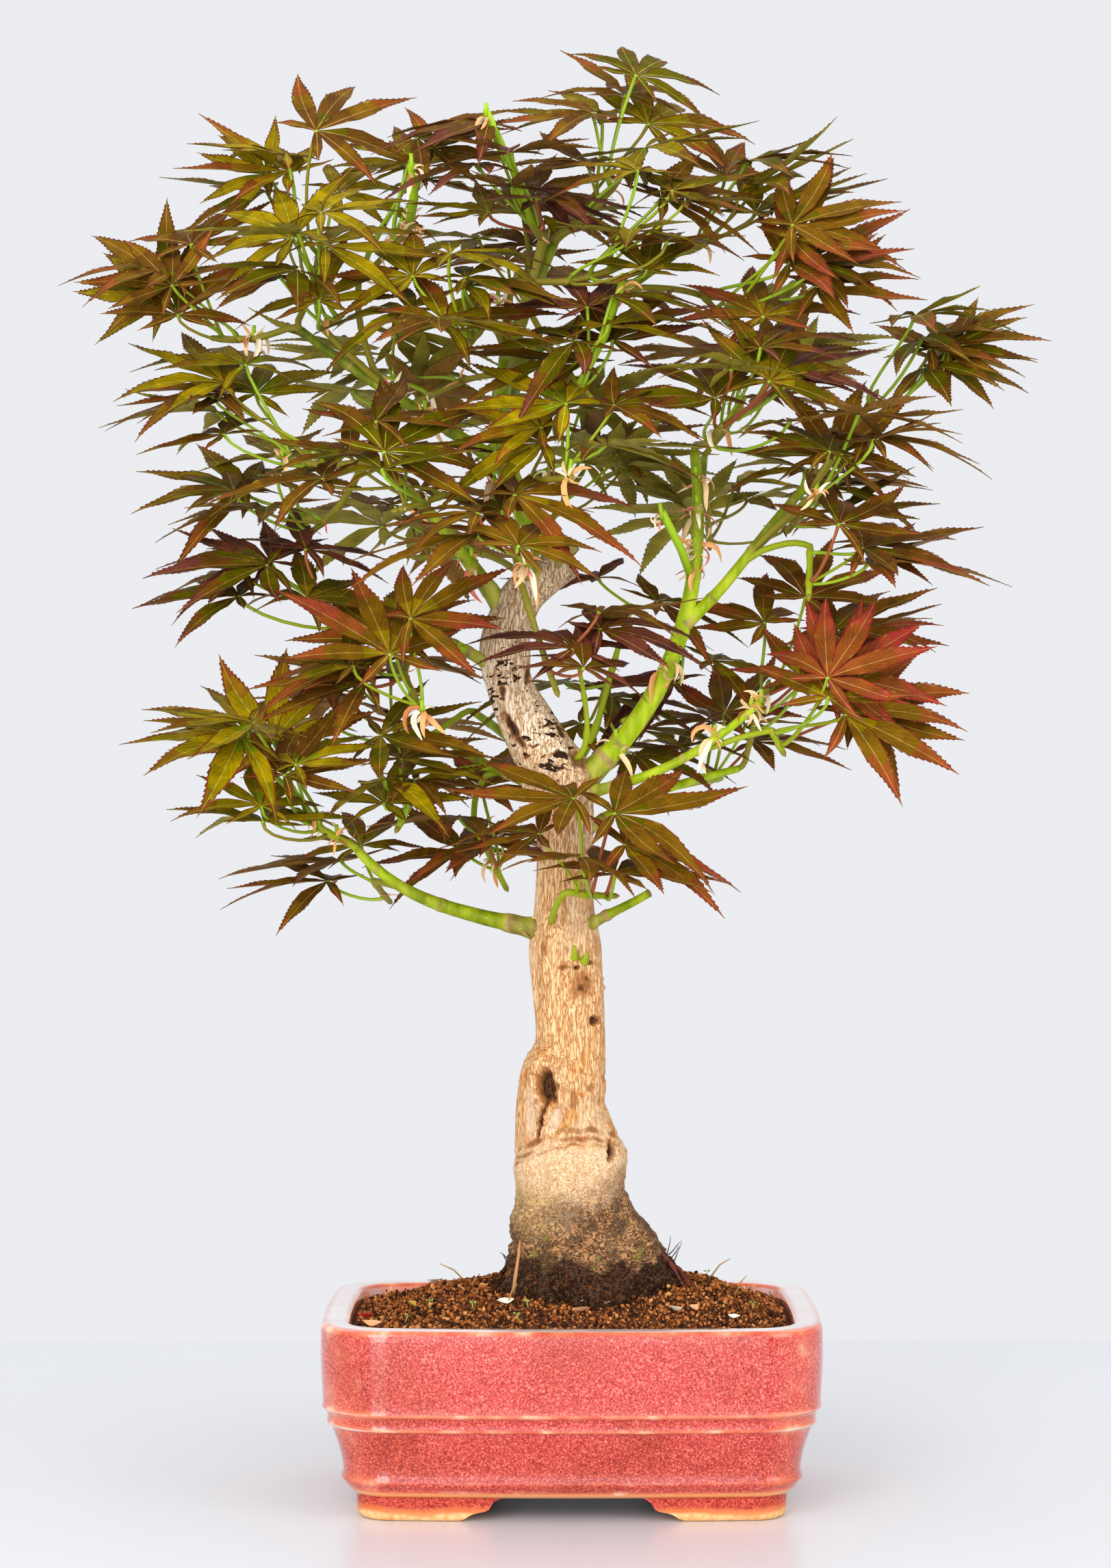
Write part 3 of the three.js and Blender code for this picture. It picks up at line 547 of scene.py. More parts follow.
def makeFootGlaze():
    # glaze above a wavy line, bare clay below it
    foot = newMaterial("footClay", (236, 186, 124), 0.6, 0.3)
    wave = noiseOf(foot, 45, 3)
    grain = noiseOf(foot, 420, 4)
    worms = noiseOf(foot, 1250, 3, distortion=0.7)
    line = waved(foot, placeOf(foot, "Z"), wave, -0.0012, 0.0016)
    clay = rampOf(foot, grain, [(0.3, (222, 160, 96)), (0.5, (236, 186, 124)), (0.7, (246, 206, 152))])
    orange = rampOf(foot, wave, [(0.35, (214, 110, 60)), (0.65, (228, 140, 84))])
    red = rampOf(foot, worms, [(0.36, (136, 32, 22)), (0.5, (186, 62, 46)), (0.66, (222, 104, 82))])
    upper = layOver(foot, orange, red, line, 0.0046, 0.0068)
    color = layOver(foot, clay, upper, line, 0.0028, 0.0042)
    return dress(foot, color, rangeOf(foot, line, 0.003, 0.005, 0.7, 0.2), [(grain, 0.15, 0.0002)])


# painted shade: the pot's underside is near-black, standing in for the shadow under the pot
paintedUnderShade = newMaterial("paintedUnderShade", (36, 24, 16), 0.9, 0.05)
finishPiece("pot_body", buildPotBody(), [makeGlaze(), paintedUnderShade], ["pot"])
finishPiece("pot_feet", buildPotFeet(), [makeFootGlaze()], ["pot"])
print("pot ready")


# The soil, its granules and what lies on it

soilValues = {
    "edge": 78.6,
    "top": 91.7,
    "rise": (10, 6, 78, 48, 4),  # middle and half size of the mound, and how steeply it ends
    "lumps": [(1.5, 0.06, 3), (1.1, 0.16, 9)],  # height, scale and seed of the noise
    "halfSize": (92.4, 61.4),
    "groundRings": (1, 0.97, 0.92, 0.86, 0.78, 0.7, 0.6, 0.48, 0.34, 0.18),
    "spacing": 1.5,  # between granules
    "sizes": (0.5, 1.3),  # radii
    "lifts": (-1.3, 0.5),
    "raised": (0.12, 0.9),  # share of the granules that lie on others, and how much higher
    "clear": (0.985, 0.78),  # none beyond this share of the way to the wall, or this near the trunk
    "seed": 11,
    "tints": [(184, 112, 58), (146, 84, 40), (104, 58, 27), (214, 148, 86), (54, 29, 16), (40, 24, 14), (76, 48, 30)],
    "trunkFoot": (6.5, 0, 38, 34),  # middle and half size of the dark patch round the trunk
    "tintShares": [0.24, 0.30, 0.22, 0.09, 0.15],  # how often a granule takes each of the first five
    "dampFrom": (0.34, 0.2),  # where the dark patches start, and how ragged they are
    "dampTints": [2, 4, 4, 6],
    "footTints": [4, 5, 5, 6],
}


def shareOut(x, y):  # nothing in the middle of the soil, and one along the pot's wall
    halfX, halfY = soilValues["halfSize"]
    return ((abs(x) / halfX) ** 5 + (abs(y) / halfY) ** 5) ** 0.2


def moundHeight(x, y):
    share = shareOut(x, y)
    middleX, middleY, riseX, riseY, steep = soilValues["rise"]
    away = math.hypot((x - middleX) / riseX, (y - middleY) / riseY)
    mound = (soilValues["top"] - soilValues["edge"] + 1) / (1 + (away / 1.05) ** steep)
    lumps = sum(high * noise.noise(Vector((x * scale, y * scale, seed))) for high, scale, seed in soilValues["lumps"])
    right = 1.2 * max(0, min(1, (x - 20) / 40))
    return soilValues["edge"] + (mound + right) * min(1, 2.6 * (1.04 - share)) + lumps * min(1, 3 * (1.1 - share)) - 1.2


def buildGround():
    bm = bmesh.new()
    ring = startRing(bm, potRing(innerInset(60) + 0.3, 60))
    capRing(bm, ring)
    for share in soilValues["groundRings"]:
        level = potRing(innerInset(soilValues["edge"]) + 0.3, 0, share)
        for point in level:
            point.z = moundHeight(point.x, point.y) - 1.0
        ring = extrudeRing(bm, ring, level)
    capRing(bm, ring)
    return meshOf(bm, "soil_ground")


def granuleShapes():
    shapes = []
    random = np.random.default_rng(soilValues["seed"])
    for i in range(6):
        bm = bmesh.new()
        if i % 2:
            bmesh.ops.create_icosphere(bm, subdivisions=1, radius=1)
        else:
            bmesh.ops.create_cube(bm, size=1.3)
            bmesh.ops.triangulate(bm, faces=bm.faces)
        points = np.array([v.co for v in bm.verts]) * random.uniform(0.62, 1.22, (len(bm.verts), 1))
        faces = np.array([[v.index for v in f.verts] for f in bm.faces])
        bm.free()
        shapes.append((points, faces))
    return shapes


def randomTurn(random):
    x, y, z = random.uniform(0, math.tau, 3)
    return np.array(Matrix.Rotation(x, 3, "X") @ Matrix.Rotation(y, 3, "Y") @ Matrix.Rotation(z, 3, "Z"))


def buildGranules():
    random = np.random.default_rng(soilValues["seed"])
    shapes = granuleShapes()
    halfX, halfY = soilValues["halfSize"]
    footX, footY, footHalfX, footHalfY = soilValues["trunkFoot"]
    step = soilValues["spacing"]
    damp, ragged = soilValues["dampFrom"]
    raisedShare, raisedBy = soilValues["raised"]
    clearWall, clearFoot = soilValues["clear"]
    parts = []
    for row in np.arange(-halfY, halfY, step * 0.87):
        for column in np.arange(-halfX, halfX, step):
            x, y = column + random.uniform(-0.5, 0.5) * step, row + random.uniform(-0.5, 0.5) * step
            nearFoot = math.hypot((x - footX) / footHalfX, (y - footY) / footHalfY)
            if shareOut(x, y) > clearWall or nearFoot < clearFoot:
                continue
            size = between(*soilValues["sizes"], random.random() ** 2)
            lift = random.uniform(*soilValues["lifts"]) + (raisedBy if random.random() < raisedShare else 0)
            points, faces = shapes[random.integers(6)]
            turned = (points * size * random.uniform(0.6, 1.2, 3)) @ randomTurn(random).T
            tint = random.choice(5, p=soilValues["tintShares"])
            if noise.noise(Vector((x * 0.075, y * 0.075, 1))) > damp + ragged * random.random():
                tint = random.choice(soilValues["dampTints"])
            if nearFoot < 0.98 + 0.12 * random.random():
                tint = random.choice(soilValues["footTints"])
            place = np.array([x, y, moundHeight(x, y) + lift])
            parts.append((turned + place, faces, np.full(len(faces), tint)))
    print("granules:", len(parts))
    mesh = joinParts("soil_granules", parts)
    mesh.shade_flat()
    return mesh


def stripFaces(count):  # two rows of triangles along a strip of three points a step
    faces = []
    for a in range(0, 3 * (count - 1), 3):
        faces += [(a, a + 3, a + 4), (a, a + 4, a + 1), (a + 1, a + 4, a + 5), (a + 1, a + 5, a + 2)]
    return np.array(faces)


# Papery husks, bits of leaf, sprouts and straw on the soil

litterValues = {
    "seed": 4,
    "husks": [
        (-83, -44, 6), (-28, -34, 5.5), (4, -37, 3.6), (4, -43, 5), (14, -38, 2.4), (43, -43, 5), (51, -41, 5.5),
        (68, -43, 3.6), (-20, 38, 5), (36, 42, 4.5), (-60, 30, 5), (78, 20, 4),
    ],
    "huskStretch": 1.5,  # its length over the size given
    "leafBits": [(-87, -26, 3), (-68, -18, 5)],  # place and tint
    "leafBitLength": 7,
    "sprouts": [(-18, -38), (-21.6, -48.6), (-60, -28), (-70, -40), (77, -20), (-42, -33), (60, 34), (-34, 44)],
    "sproutHeights": (2.2, 3.6),
    "sproutLeaf": 1.8,
    "straws": [(-27, -33, 4), (60, 12, 9), (-45, 10, -12), (70, -6, 5)],  # place, and how far one leans
    "tints": {
        "huskPale": (246, 232, 214), "huskPeach": (232, 170, 120), "sproutGreen": (150, 196, 92),
        "leafBitRed": (218, 52, 50), "straw": (176, 140, 84), "leafBitYellow": (200, 166, 60),
    },
}


def huskPart(x, y, length, random, tint, width=0.24):
    # a slightly curled flake, leaning this way or that
    lean = Matrix.Rotation(random.uniform(0, math.tau), 3, "Z") @ Matrix.Rotation(random.uniform(0.1, 0.8), 3, "X")
    curl, points = random.uniform(0.3, 1.1), []
    for i in range(7):
        along = i / 6
        half = width * length * math.sin(math.pi * min(0.98, along * 0.94 + 0.04)) ** 1.3
        for side in (-1, 0, 1):
            points.append((length * (along - 0.5), side * half, 0.35 * abs(side) + curl * (2 * along - 1) ** 2))
    points = np.array(points) @ np.array(lean).T
    points += np.array([x, y, moundHeight(x, y) + 1.7])
    faces = stripFaces(7)
    return points, faces, np.full(len(faces), tint)


def buildLitter():
    random = np.random.default_rng(litterValues["seed"])
    parts = []
    for i, (x, y, size) in enumerate(litterValues["husks"]):
        parts.append(huskPart(x, y, litterValues["huskStretch"] * size, random, 0 if i % 3 else 1))
    for x, y, tint in litterValues["leafBits"]:
        parts.append(huskPart(x, y, litterValues["leafBitLength"], random, tint, 0.3))
    for x, y in litterValues["sprouts"]:
        base = moundHeight(x, y)
        tip = np.array([x + random.uniform(-1.5, 1.5), y - 0.5, base + random.uniform(*litterValues["sproutHeights"])])
        parts.append(tubePart([(x, y, base - 1), tip], [0.22, 0.18], 5, 2))
        way = random.uniform(-0.5, 0.5)
        for side in (-1, 1):
            points, faces, tints = huskPart(0, 0, litterValues["sproutLeaf"], random, 2, 0.3)
            points = points - points.mean(axis=0) + tip + np.array([0.8 * side, way * side, 0.4])
            parts.append((points, faces, tints))
    for x, y, lean in litterValues["straws"]:
        base = moundHeight(x, y)
        route = [(x, y, base), (x + lean * 0.5, y, base + 6), (x + lean, y - 2, base + 9)]
        parts.append(tubePart(route, [0.4, 0.35, 0.2], 5, 4))
    return joinParts("soil_litter", parts)


def makeGround():
    ground = newMaterial("soilGround", (58, 32, 18), 0.95, 0.2)
    grain = noiseOf(ground, 420, 4)
    color = rampOf(ground, grain, [(0.35, (38, 20, 11)), (0.65, (108, 62, 33))])
    return dress(ground, color, bumps=[(grain, 0.8, 0.001)])


granuleTints = makeTints(numbered("granule", soilValues["tints"]), 0.9, 0.1, (900, 3), 0.6, 0.0004)
litterTints = makeTints(litterValues["tints"], 0.55, 0.4, (1400, 2), 0.4, 0.0002)
finishPiece("soil_ground", buildGround(), [makeGround()], ["soil"])
finishPiece("soil_granules", buildGranules(), granuleTints, ["soil"])
finishPiece("soil_litter", buildLitter(), litterTints)
print("soil ready")


# The trunk

trunkValues = {
    # middle x, y, height and radius, from the flat cut at soil level to the fork
    "stations": [
        (6.5, 0, 92, 41.0), (7.4, 0, 97, 36.6), (5.8, 0, 106, 32.4), (2.3, 1, 116, 28.4), (-0.6, 2, 128, 23.4),
        (-0.4, 2, 141, 24.6), (-3.2, 2, 155, 21.4), (-5.0, 1, 167, 19.0), (-3.6, 0, 179, 18.4), (-0.6, 0, 193, 15.0),
        (-1.1, 0, 214, 14.8), (-2.4, 0, 235, 15.0), (-2.9, 0, 252, 12.8), (-2.8, 1, 279, 12.2), (-3.2, 1, 294, 12.8),
        (-6.4, 1, 307, 15.6), (-13.2, 2, 320, 13.0), (-20.0, 3, 333, 11.8), (-26.6, 4, 348, 10.0),
        (-28.4, 4, 361, 11.0), (-26.8, 4, 373, 10.0), (-21.0, 3, 386, 9.4), (-11.4, 2, 394.6, 8.6), (-2.0, 0, 401, 7.8),
    ],
    "sides": 136,
    "levels": 400,
    "depthShare": 0.9,
    "buried": 7,  # how far it goes on below the soil
    "rootCount": 5,
    "rootSwell": 0.06,
    "rootTurn": 0.6,
    "rootFade": 20,
    # hollows and knots: x, height, half width, half height, depth, how dark (painted shade in the hollows, a brown tint
    # on raised knots), lean
    "knots": [
        (-10.6, 176.0, 3.6, 7.4, 5.4, 1.0, -0.08), (-12.9, 160.5, 0.75, 8.4, 2.4, 1.0, 0.277),
        (9.7, 204, 1.5, 2.2, 1.4, 0.95, 0), (16.8, 148.6, 1.3, 4.2, 2.4, 1.0, 0), (15, 179, 0.9, 1.4, 1.0, 0.8, 0),
        (1.2, 170, 1.7, 4.6, 0.9, 0.4, 0), (8.6, 175, 2.2, 1.5, 0.8, 0.4, 0.4), (4.1, 219.4, 4.4, 6.0, -2.2, 0.5, 0),
        (3.4, 218, 1.0, 1.5, 0.9, 0.8, 0), (6.2, 222, 0.9, 1.2, 0.8, 0.8, 0), (2.2, 227, 1.3, 1.0, 0.8, 0.9, 0.5),
        (7.0, 229, 1.4, 0.9, 0.8, 0.9, 0), (-3.4, 227, 2.2, 0.9, 0.7, 0.7, 0.8), (-11, 235, 2.4, 3.2, -1.2, 0.35, 0),
        (-15.9, 321.5, 0.8, 1.0, 0.8, 1.0, 2.6), (-10.3, 317.8, 0.8, 1.0, 0.7, 1.0, 2.4),
        (-18.6, 317, 0.7, 0.8, 0.6, 0.9, 2.2), (-25.4, 330, 2.0, 5.2, 0.8, 0.85, -0.5),
        (-21.5, 323.5, 1.6, 2.4, 0.6, 0.8, -0.7), (3.2, 315.5, 3.4, 3.6, 1.0, 0.6, -0.6),
        (22, 127, 3.2, 3.2, -2.2, 0.12, 0), (31, 113, 3.2, 2.6, -2.0, 0.12, 0), (18.4, 139, 2.2, 3.4, -1.3, 0.12, 0),
        (-25, 119, 2.2, 3.2, -1.3, 0.12, 0), (23, 147, 2.4, 3.0, -1.2, 0.1, 0), (-4.8, 328, 1.2, 2.6, 0.7, 0.8, -0.5),
        (-19.0, 352, 1.1, 3.6, 0.6, 0.7, 0.1), (-29.5, 345, 1.1, 2.4, 0.6, 0.8, 0.1),
    ],
    # rings round the trunk: height, depth, width, how dark (a brown tint deepening to painted shade in the creases)
    "creases": [
        (157.5, 1.2, 1.2, 0.34), (154.5, 0.9, 0.9, 0.34), (152, 0.4, 0.7, 0.34), (125, 0.7, 1.1, 0.12),
        (119, 0.9, 1.4, 0.12), (114, 0.8, 1.2, 0.12), (109, 1.0, 1.6, 0.12),
    ],
    # smooth sunken places: x, height, half width, half height, lean
    "panels": [(-16.6, 167, 3.0, 11.5, 0.06), (-6.9, 161.5, 2.6, 6.5, 0.3)],
}


def trunkAlong(share):  # a smooth curve through the stations: middle and radius
    stations = trunkValues["stations"]
    spot = share * (len(stations) - 1)
    i = min(int(spot), len(stations) - 2)
    t = spot - i
    a, b, c, d = (np.array(stations[min(max(i + k, 0), len(stations) - 1)]) for k in (-1, 0, 1, 2))
    value = 0.5 * (2 * b + (c - a) * t + (2 * a - 5 * b + 4 * c - d) * t**2 + (3 * b - a - 3 * c + d) * t**3)
    return value[:3], value[3]


# the darkness it returns is painted shade in the hollows and creases, a brown tint on raised knots, and below nothing
# on smooth panels
def barkRelief(point, angle, z):  # how far the bark stands out, and how dark it is
    x, y = math.cos(angle), math.sin(angle)

    def rough(scale, height):
        return noise.noise(Vector((x * scale, y * scale, height)))

    wobble = rough(1.4, z * 0.03)
    out = 1.3 * rough(1.9, z * 0.02 + 5)
    out += 0.32 * rough(6, z * 0.035 + 2 * wobble)
    out += 0.16 * rough(19, z * 0.12 + 3 * wobble)
    dark = 0.0
    for level, depth, width, shade in trunkValues["creases"]:
        waver = 2 * wobble + 1.1 * rough(5.5, level)
        away = (z - level - 0.05 * point[0] + 0.014 * point[0] ** 2 - waver) / width
        line = math.exp(-away * away) * max(0, 0.6 + 1.9 * rough(3.7, level))
        out -= depth * min(1.2, line)
        dark = max(dark, shade * line)
    fork = math.exp(-(((z - 305) / 15) ** 2))  # gnarled where the lower boughs leave
    out += fork * (1.3 * rough(2.4, z * 0.13) + 0.5 * rough(6, z * 0.3))
    low = min(1, max(0, (124 - z) / 22))  # the foot is rough and grimy
    if low:
        out += low * 2.4 * noise.noise(Vector((point[0] * 0.22, point[1] * 0.22, z * 0.3)))
        out += low * 1.4 * noise.noise(Vector((point[0] * 0.5, point[1] * 0.5, z * 0.55)))
    if y < 0.3:
        for knotX, knotZ, halfWidth, halfHeight, depth, shade, lean in trunkValues["knots"]:
            away = ((point[0] - knotX - lean * (z - knotZ)) / halfWidth) ** 2 + ((z - knotZ) / halfHeight) ** 2
            if away < 9:
                away *= 1 + 0.9 * noise.noise(Vector((point[0] * 0.55, z * 0.4, knotX)))  # ragged edges
                inside = 1 / (1 + away**4) if depth > 0 else math.exp(-away * 1.1)
                out -= depth * inside
                out += 0.35 * abs(depth) * math.exp(-((math.sqrt(away) - 1.5) ** 2) * 6)
                dark = max(dark, shade * inside)
        for middleX, middleZ, halfWidth, halfHeight, lean in trunkValues["panels"]:
            away = ((point[0] - middleX - lean * (z - middleZ)) / halfWidth) ** 2 + ((z - middleZ) / halfHeight) ** 2
            if away < 4:
                inside = 1 / (1 + away**4)
                out += 0.5 * math.exp(-((math.sqrt(away) - 1.15) ** 2) * 18) - 0.6 * inside
                dark = dark if dark > 0.08 else -inside
    return out, dark


def rootSwell(angle, fade):
    return 1 + trunkValues["rootSwell"] * fade * math.cos(trunkValues["rootCount"] * angle + trunkValues["rootTurn"])


def buildTrunk():
    sides, levels = trunkValues["sides"], trunkValues["levels"]
    spots = [trunkAlong(share) for share in np.linspace(0, 1, 2400)]
    reach = np.concatenate([[0], np.cumsum([np.linalg.norm(b[0] - a[0]) for a, b in zip(spots, spots[1:])])])
    picked = [spots[i] for i in np.searchsorted(reach, np.linspace(0, reach[-1], levels))]
    route = np.array([middle for middle, _ in picked])
    frames = framesAlong(route)
    angles = around(sides)
    bottom = trunkValues["stations"][0][2]
    bm = bmesh.new()
    paintedShadeLayer = bm.verts.layers.float.new("paintedShadeAndPanel")
    ring = None
    for level, (middle, radius) in enumerate(picked):
        tilted = min(1, max(0, (middle[2] - bottom - 8) / 60))  # the rings of the foot lie level
        across = unit(np.array([1, 0, 0]) * (1 - tilted) + frames[level][0] * tilted)
        other = unit(np.array([0, 1, 0]) * (1 - tilted) + frames[level][1] * tilted)
        fade = max(0, 1 - (middle[2] - bottom) / trunkValues["rootFade"])
        points, shades = [], []
        for angle in angles:
            swell = rootSwell(angle, fade)
            way = across * math.cos(angle) + other * trunkValues["depthShare"] * math.sin(angle)
            point = middle + way * radius * swell
            out, dark = barkRelief(point, angle, point[2])
            point = point + way * out * min(1, radius / 12)
            if level == 0:
                point[2] = bottom - trunkValues["buried"]
            points.append(Vector(point))
            shades.append(dark)
        ring = extrudeRing(bm, ring, points) if ring else startRing(bm, points)
        for vert, dark in zip(ring, shades):
            vert[paintedShadeLayer] = dark
        if level == 0:
            capRing(bm, ring)
    capRing(bm, ring)
    return meshOf(bm, "trunk_bark")


def linesOf(material, scale, detail, stretch, distortion):  # wavering lines, where a noise crosses its middle
    crossing = mathOf(material, "SUBTRACT", noiseOf(material, scale, detail, stretch, distortion), 0.5)
    return mathOf(material, "ABSOLUTE", crossing)


def makeBark():
    bark = newMaterial("trunkBark", (214, 170, 124), 0.78, 0.12)
    fibre = linesOf(bark, 780, 4, (1, 1, 0.16), 0.6)
    strands = linesOf(bark, 1300, 3, (1, 1, 0.3), 0.8)
    hairs = linesOf(bark, 640, 4, (1, 1, 0.62), 1.1)
    curls = linesOf(bark, 300, 5, (1, 1, 1.3), 1.6)
    patch = noiseOf(bark, 34, 4, (1, 1, 0.6))
    height = placeOf(bark, "Z")
    upper = waved(bark, height, patch, -0.03, 0.03)
    low = waved(bark, height, patch, -0.008, 0.008)
    # long fibres above, fine hairs on the swelling under the ring at 155 mm
    above = rampOf(bark, fibre, [
        (0, (160, 98, 52)), (0.016, (194, 136, 82)), (0.045, (218, 166, 110)), (0.12, (240, 200, 150)),
    ])
    below = rampOf(bark, hairs, [
        (0, (184, 130, 82)), (0.016, (212, 166, 116)), (0.045, (232, 192, 146)), (0.12, (246, 214, 174)),
    ])
    isAbove = rangeOf(bark, low, 0.150, 0.158)
    tan = mixOf(bark, isAbove, below, above)
    tan = layOver(bark, tan, (170, 108, 58), strands, 0.018, 0, 0.55)
    tan = layOver(bark, tan, (232, 204, 168), patch, 0.54, 0.7, 0.45)
    # orange-brown patches above the ring
    ember = rangeOf(bark, noiseOf(bark, 105, 4), 0.52, 0.62, 0, 0.9)
    ember = faded(bark, ember, height, 0.146, 0.158)
    ember = faded(bark, ember, height, 0.215, 0.185)
    tan = mixOf(bark, ember, tan, layOver(bark, (160, 90, 38), (220, 154, 90), fibre, 0, 0.06))
    # the upper trunk is greyer, with dark specks, and painted lighter there as painted light against the crown's shade
    upperGreyPaintedLight = rampOf(bark, fibre, [
        (0, (140, 104, 70)), (0.02, (200, 162, 118)), (0.055, (238, 206, 166)), (0.12, (252, 236, 212)),
    ])
    color = layOver(bark, tan, upperGreyPaintedLight, upper, 0.27, 0.34, 0.85)
    gathered = rangeOf(bark, noiseOf(bark, 62, 3), 0.38, 0.64, -0.035, 0.06)
    speck = mathOf(bark, "ADD", noiseOf(bark, 330, 3, (0.6, 0.6, 1.2), 0.9), gathered)
    speckMask = faded(bark, rangeOf(bark, speck, 0.585, 0.615), upper, 0.29, 0.32)
    speckMask = faded(bark, speckMask, upper, 0.385, 0.36)
    color = mixOf(bark, speckMask, color, (54, 33, 20))
    weathered = layOver(bark, (84, 60, 40), (188, 156, 120), fibre, 0, 0.07)
    color = layOver(bark, color, weathered, upper, 0.355, 0.385, 0.6)
    # the foot is brown, higher up on its right, with a green film and moss
    aside = placeOf(bark, "X")
    brownLine = mathOf(bark, "SUBTRACT", low, rangeOf(bark, aside, 0.006, 0.030, 0, 0.016))
    film = faded(bark, rangeOf(bark, aside, 0.006, -0.004), low, 0.136, 0.126, 0, 0.5)
    color = mixOf(bark, film, color, (186, 152, 84))
    brown = rampOf(bark, curls, [
        (0, (36, 20, 10)), (0.018, (80, 49, 27)), (0.05, (130, 88, 54)), (0.12, (184, 136, 90)),
    ])
    brown = layOver(bark, brown, (58, 37, 23), noiseOf(bark, 110, 4), 0.47, 0.58, 0.75)
    color = layOver(bark, color, brown, brownLine, 0.130, 0.113, 0.94)
    moss = faded(bark, rangeOf(bark, noiseOf(bark, 150, 3), 0.62, 0.68), height, 0.120, 0.112)
    color = mixOf(bark, moss, color, (128, 126, 50))
    grime = rampOf(bark, curls, [(0, (22, 13, 8)), (0.03, (50, 32, 20)), (0.12, (92, 62, 40))])
    wave = waved(bark, height, noiseOf(bark, 90, 3), -0.004, 0.004)
    color = layOver(bark, color, grime, wave, 0.1045, 0.1015)
    # a web of thin dark lines over the foot
    web = mathOf(bark, "ADD", rangeOf(bark, curls, 0.02, 0.004, 0, 0.6), rangeOf(bark, hairs, 0.016, 0, 0, 0.45))
    web = faded(bark, web, low, 0.137, 0.121)
    color = mixOf(bark, web, color, (52, 30, 17))
    # smooth panels, where the attribute is below nothing, and the hollows and knots, brown round them and painted shade
    # deep inside
    paintedShadeAndPanel = attributeOf(bark, "paintedShadeAndPanel")
    smooth = layOver(bark, (204, 164, 126), (234, 204, 172), fibre, 0, 0.05)
    color = layOver(bark, color, smooth, paintedShadeAndPanel, -0.25, -0.75, 0.75)
    color = layOver(bark, color, (156, 94, 46), paintedShadeAndPanel, 0.06, 0.32, 0.8)
    # painted shade: near-black deep in the hollows and creases
    inside = layOver(bark, (24, 12, 7), (84, 52, 30), fibre, 0, 0.09)
    color = layOver(bark, color, inside, paintedShadeAndPanel, 0.4, 0.85, 0.97)
    grain = mixOf(bark, isAbove, rangeOf(bark, curls, 0, 0.06), rangeOf(bark, fibre, 0, 0.06))
    return dress(bark, color, rangeOf(bark, patch, 0.3, 0.7, 0.84, 0.68), [
        (grain, 0.5, 0.0006), (rangeOf(bark, strands, 0, 0.05), 0.35, 0.0003),
    ])


# Loose soil and thin roots on the trunk's foot

footValues = {
    "soilSeed": 23,
    "crumbs": 2600,
    "soilFrom": 86,
    "soilTo": 98.5,
    "soilWaves": 7,  # how far its upper edge goes up and down
    "crumbTints": [2, 4, 5, 5, 5, 6, 6],
    "rootSeed": 31,
    "stick": [(-25, -26, 88), (-23.6, -27, 98), (-22.4, -25.5, 106), (-21.8, -24, 112)],
    "stickRadii": (0.9, 0.8, 0.6, 0.3),
    "hairAngles": (-0.5, -0.32, -0.2, -0.05, 0.1, 0.25, 2.9, 3.3, 3.6),
    "hairHeights": (97, 108),
    "hairRadii": (0.32, 0.1),
    "redRoots": ((-0.3, 104), (-0.16, 99)),  # angle and height where a root leaves the trunk, at the right
    "tints": [  # name, colour, roughness and specular
        ("rootStick", (190, 138, 88), 0.7, 0.3), ("hairRoot", (74, 42, 30), 0.8, 0.3),
        ("redRoot", (104, 50, 38), 0.75, 0.2),
    ],
}


def trunkSurface(angle, height):  # a point on the trunk near its foot
    heights = [station[2] for station in trunkValues["stations"]]
    middle = [np.interp(height, heights, [station[k] for station in trunkValues["stations"]]) for k in (0, 1, 3)]
    fade = max(0, 1 - (height - heights[0]) / trunkValues["rootFade"])
    radius = middle[2] * rootSwell(angle, fade)
    depth = radius * trunkValues["depthShare"]
    return np.array([middle[0] + radius * math.cos(angle), middle[1] + depth * math.sin(angle), height])


def buildFootSoil():
    random = np.random.default_rng(footValues["soilSeed"])
    shapes = granuleShapes()
    bottom = footValues["soilFrom"]
    parts = []
    for _ in range(footValues["crumbs"]):
        angle = random.uniform(0, math.tau)
        wave = noise.noise(Vector((2.6 * math.cos(angle), 2.6 * math.sin(angle), 7)))
        top = footValues["soilTo"] + footValues["soilWaves"] * wave
        height = between(bottom, top, random.random() ** 0.8)
        place = trunkSurface(angle, height) + np.array([0, 0, random.uniform(-0.5, 0.5)])
        points, faces = shapes[random.integers(6)]
        turned = (points * random.uniform(0.4, 1.0) * random.uniform(0.6, 1.2, 3)) @ randomTurn(random).T
        tint = random.choice(footValues["crumbTints"])
        parts.append((turned + place, faces, np.full(len(faces), tint)))
    mesh = joinParts("foot_soil", parts)
    mesh.shade_flat()
    return mesh


def buildHairRoots():
    random = np.random.default_rng(footValues["rootSeed"])
    parts = [tubePart(footValues["stick"], footValues["stickRadii"], 7, 0)]
    for angle in footValues["hairAngles"]:
        route = [trunkSurface(angle, random.uniform(*footValues["hairHeights"]))]
        step = np.array([math.cos(angle), math.sin(angle), 0.9]) * 1.1
        for _ in range(5):
            step = step + random.uniform(-0.5, 0.5, 3)
            route.append(route[-1] + step)
        parts.append(tubePart(route, np.linspace(*footValues["hairRadii"], 6), 4, 1))
    for turn, top in footValues["redRoots"]:
        knee = [trunkSurface(turn, top), trunkSurface(turn + 0.04, top - 4) + [1.6, 0, 0]]
        knee += [trunkSurface(turn, 96) + [0.8, 0, 0], trunkSurface(turn - 0.05, 92) + [3, 0, -4]]
        radii = 0.85 + 0.3 * np.sin(np.linspace(0, 9, 13) + 5 * turn)
        parts.append(tubePart([bezier(knee, share) for share in np.linspace(0, 1, 13)], radii, 8, 2))
    return joinParts("hair_roots", parts)


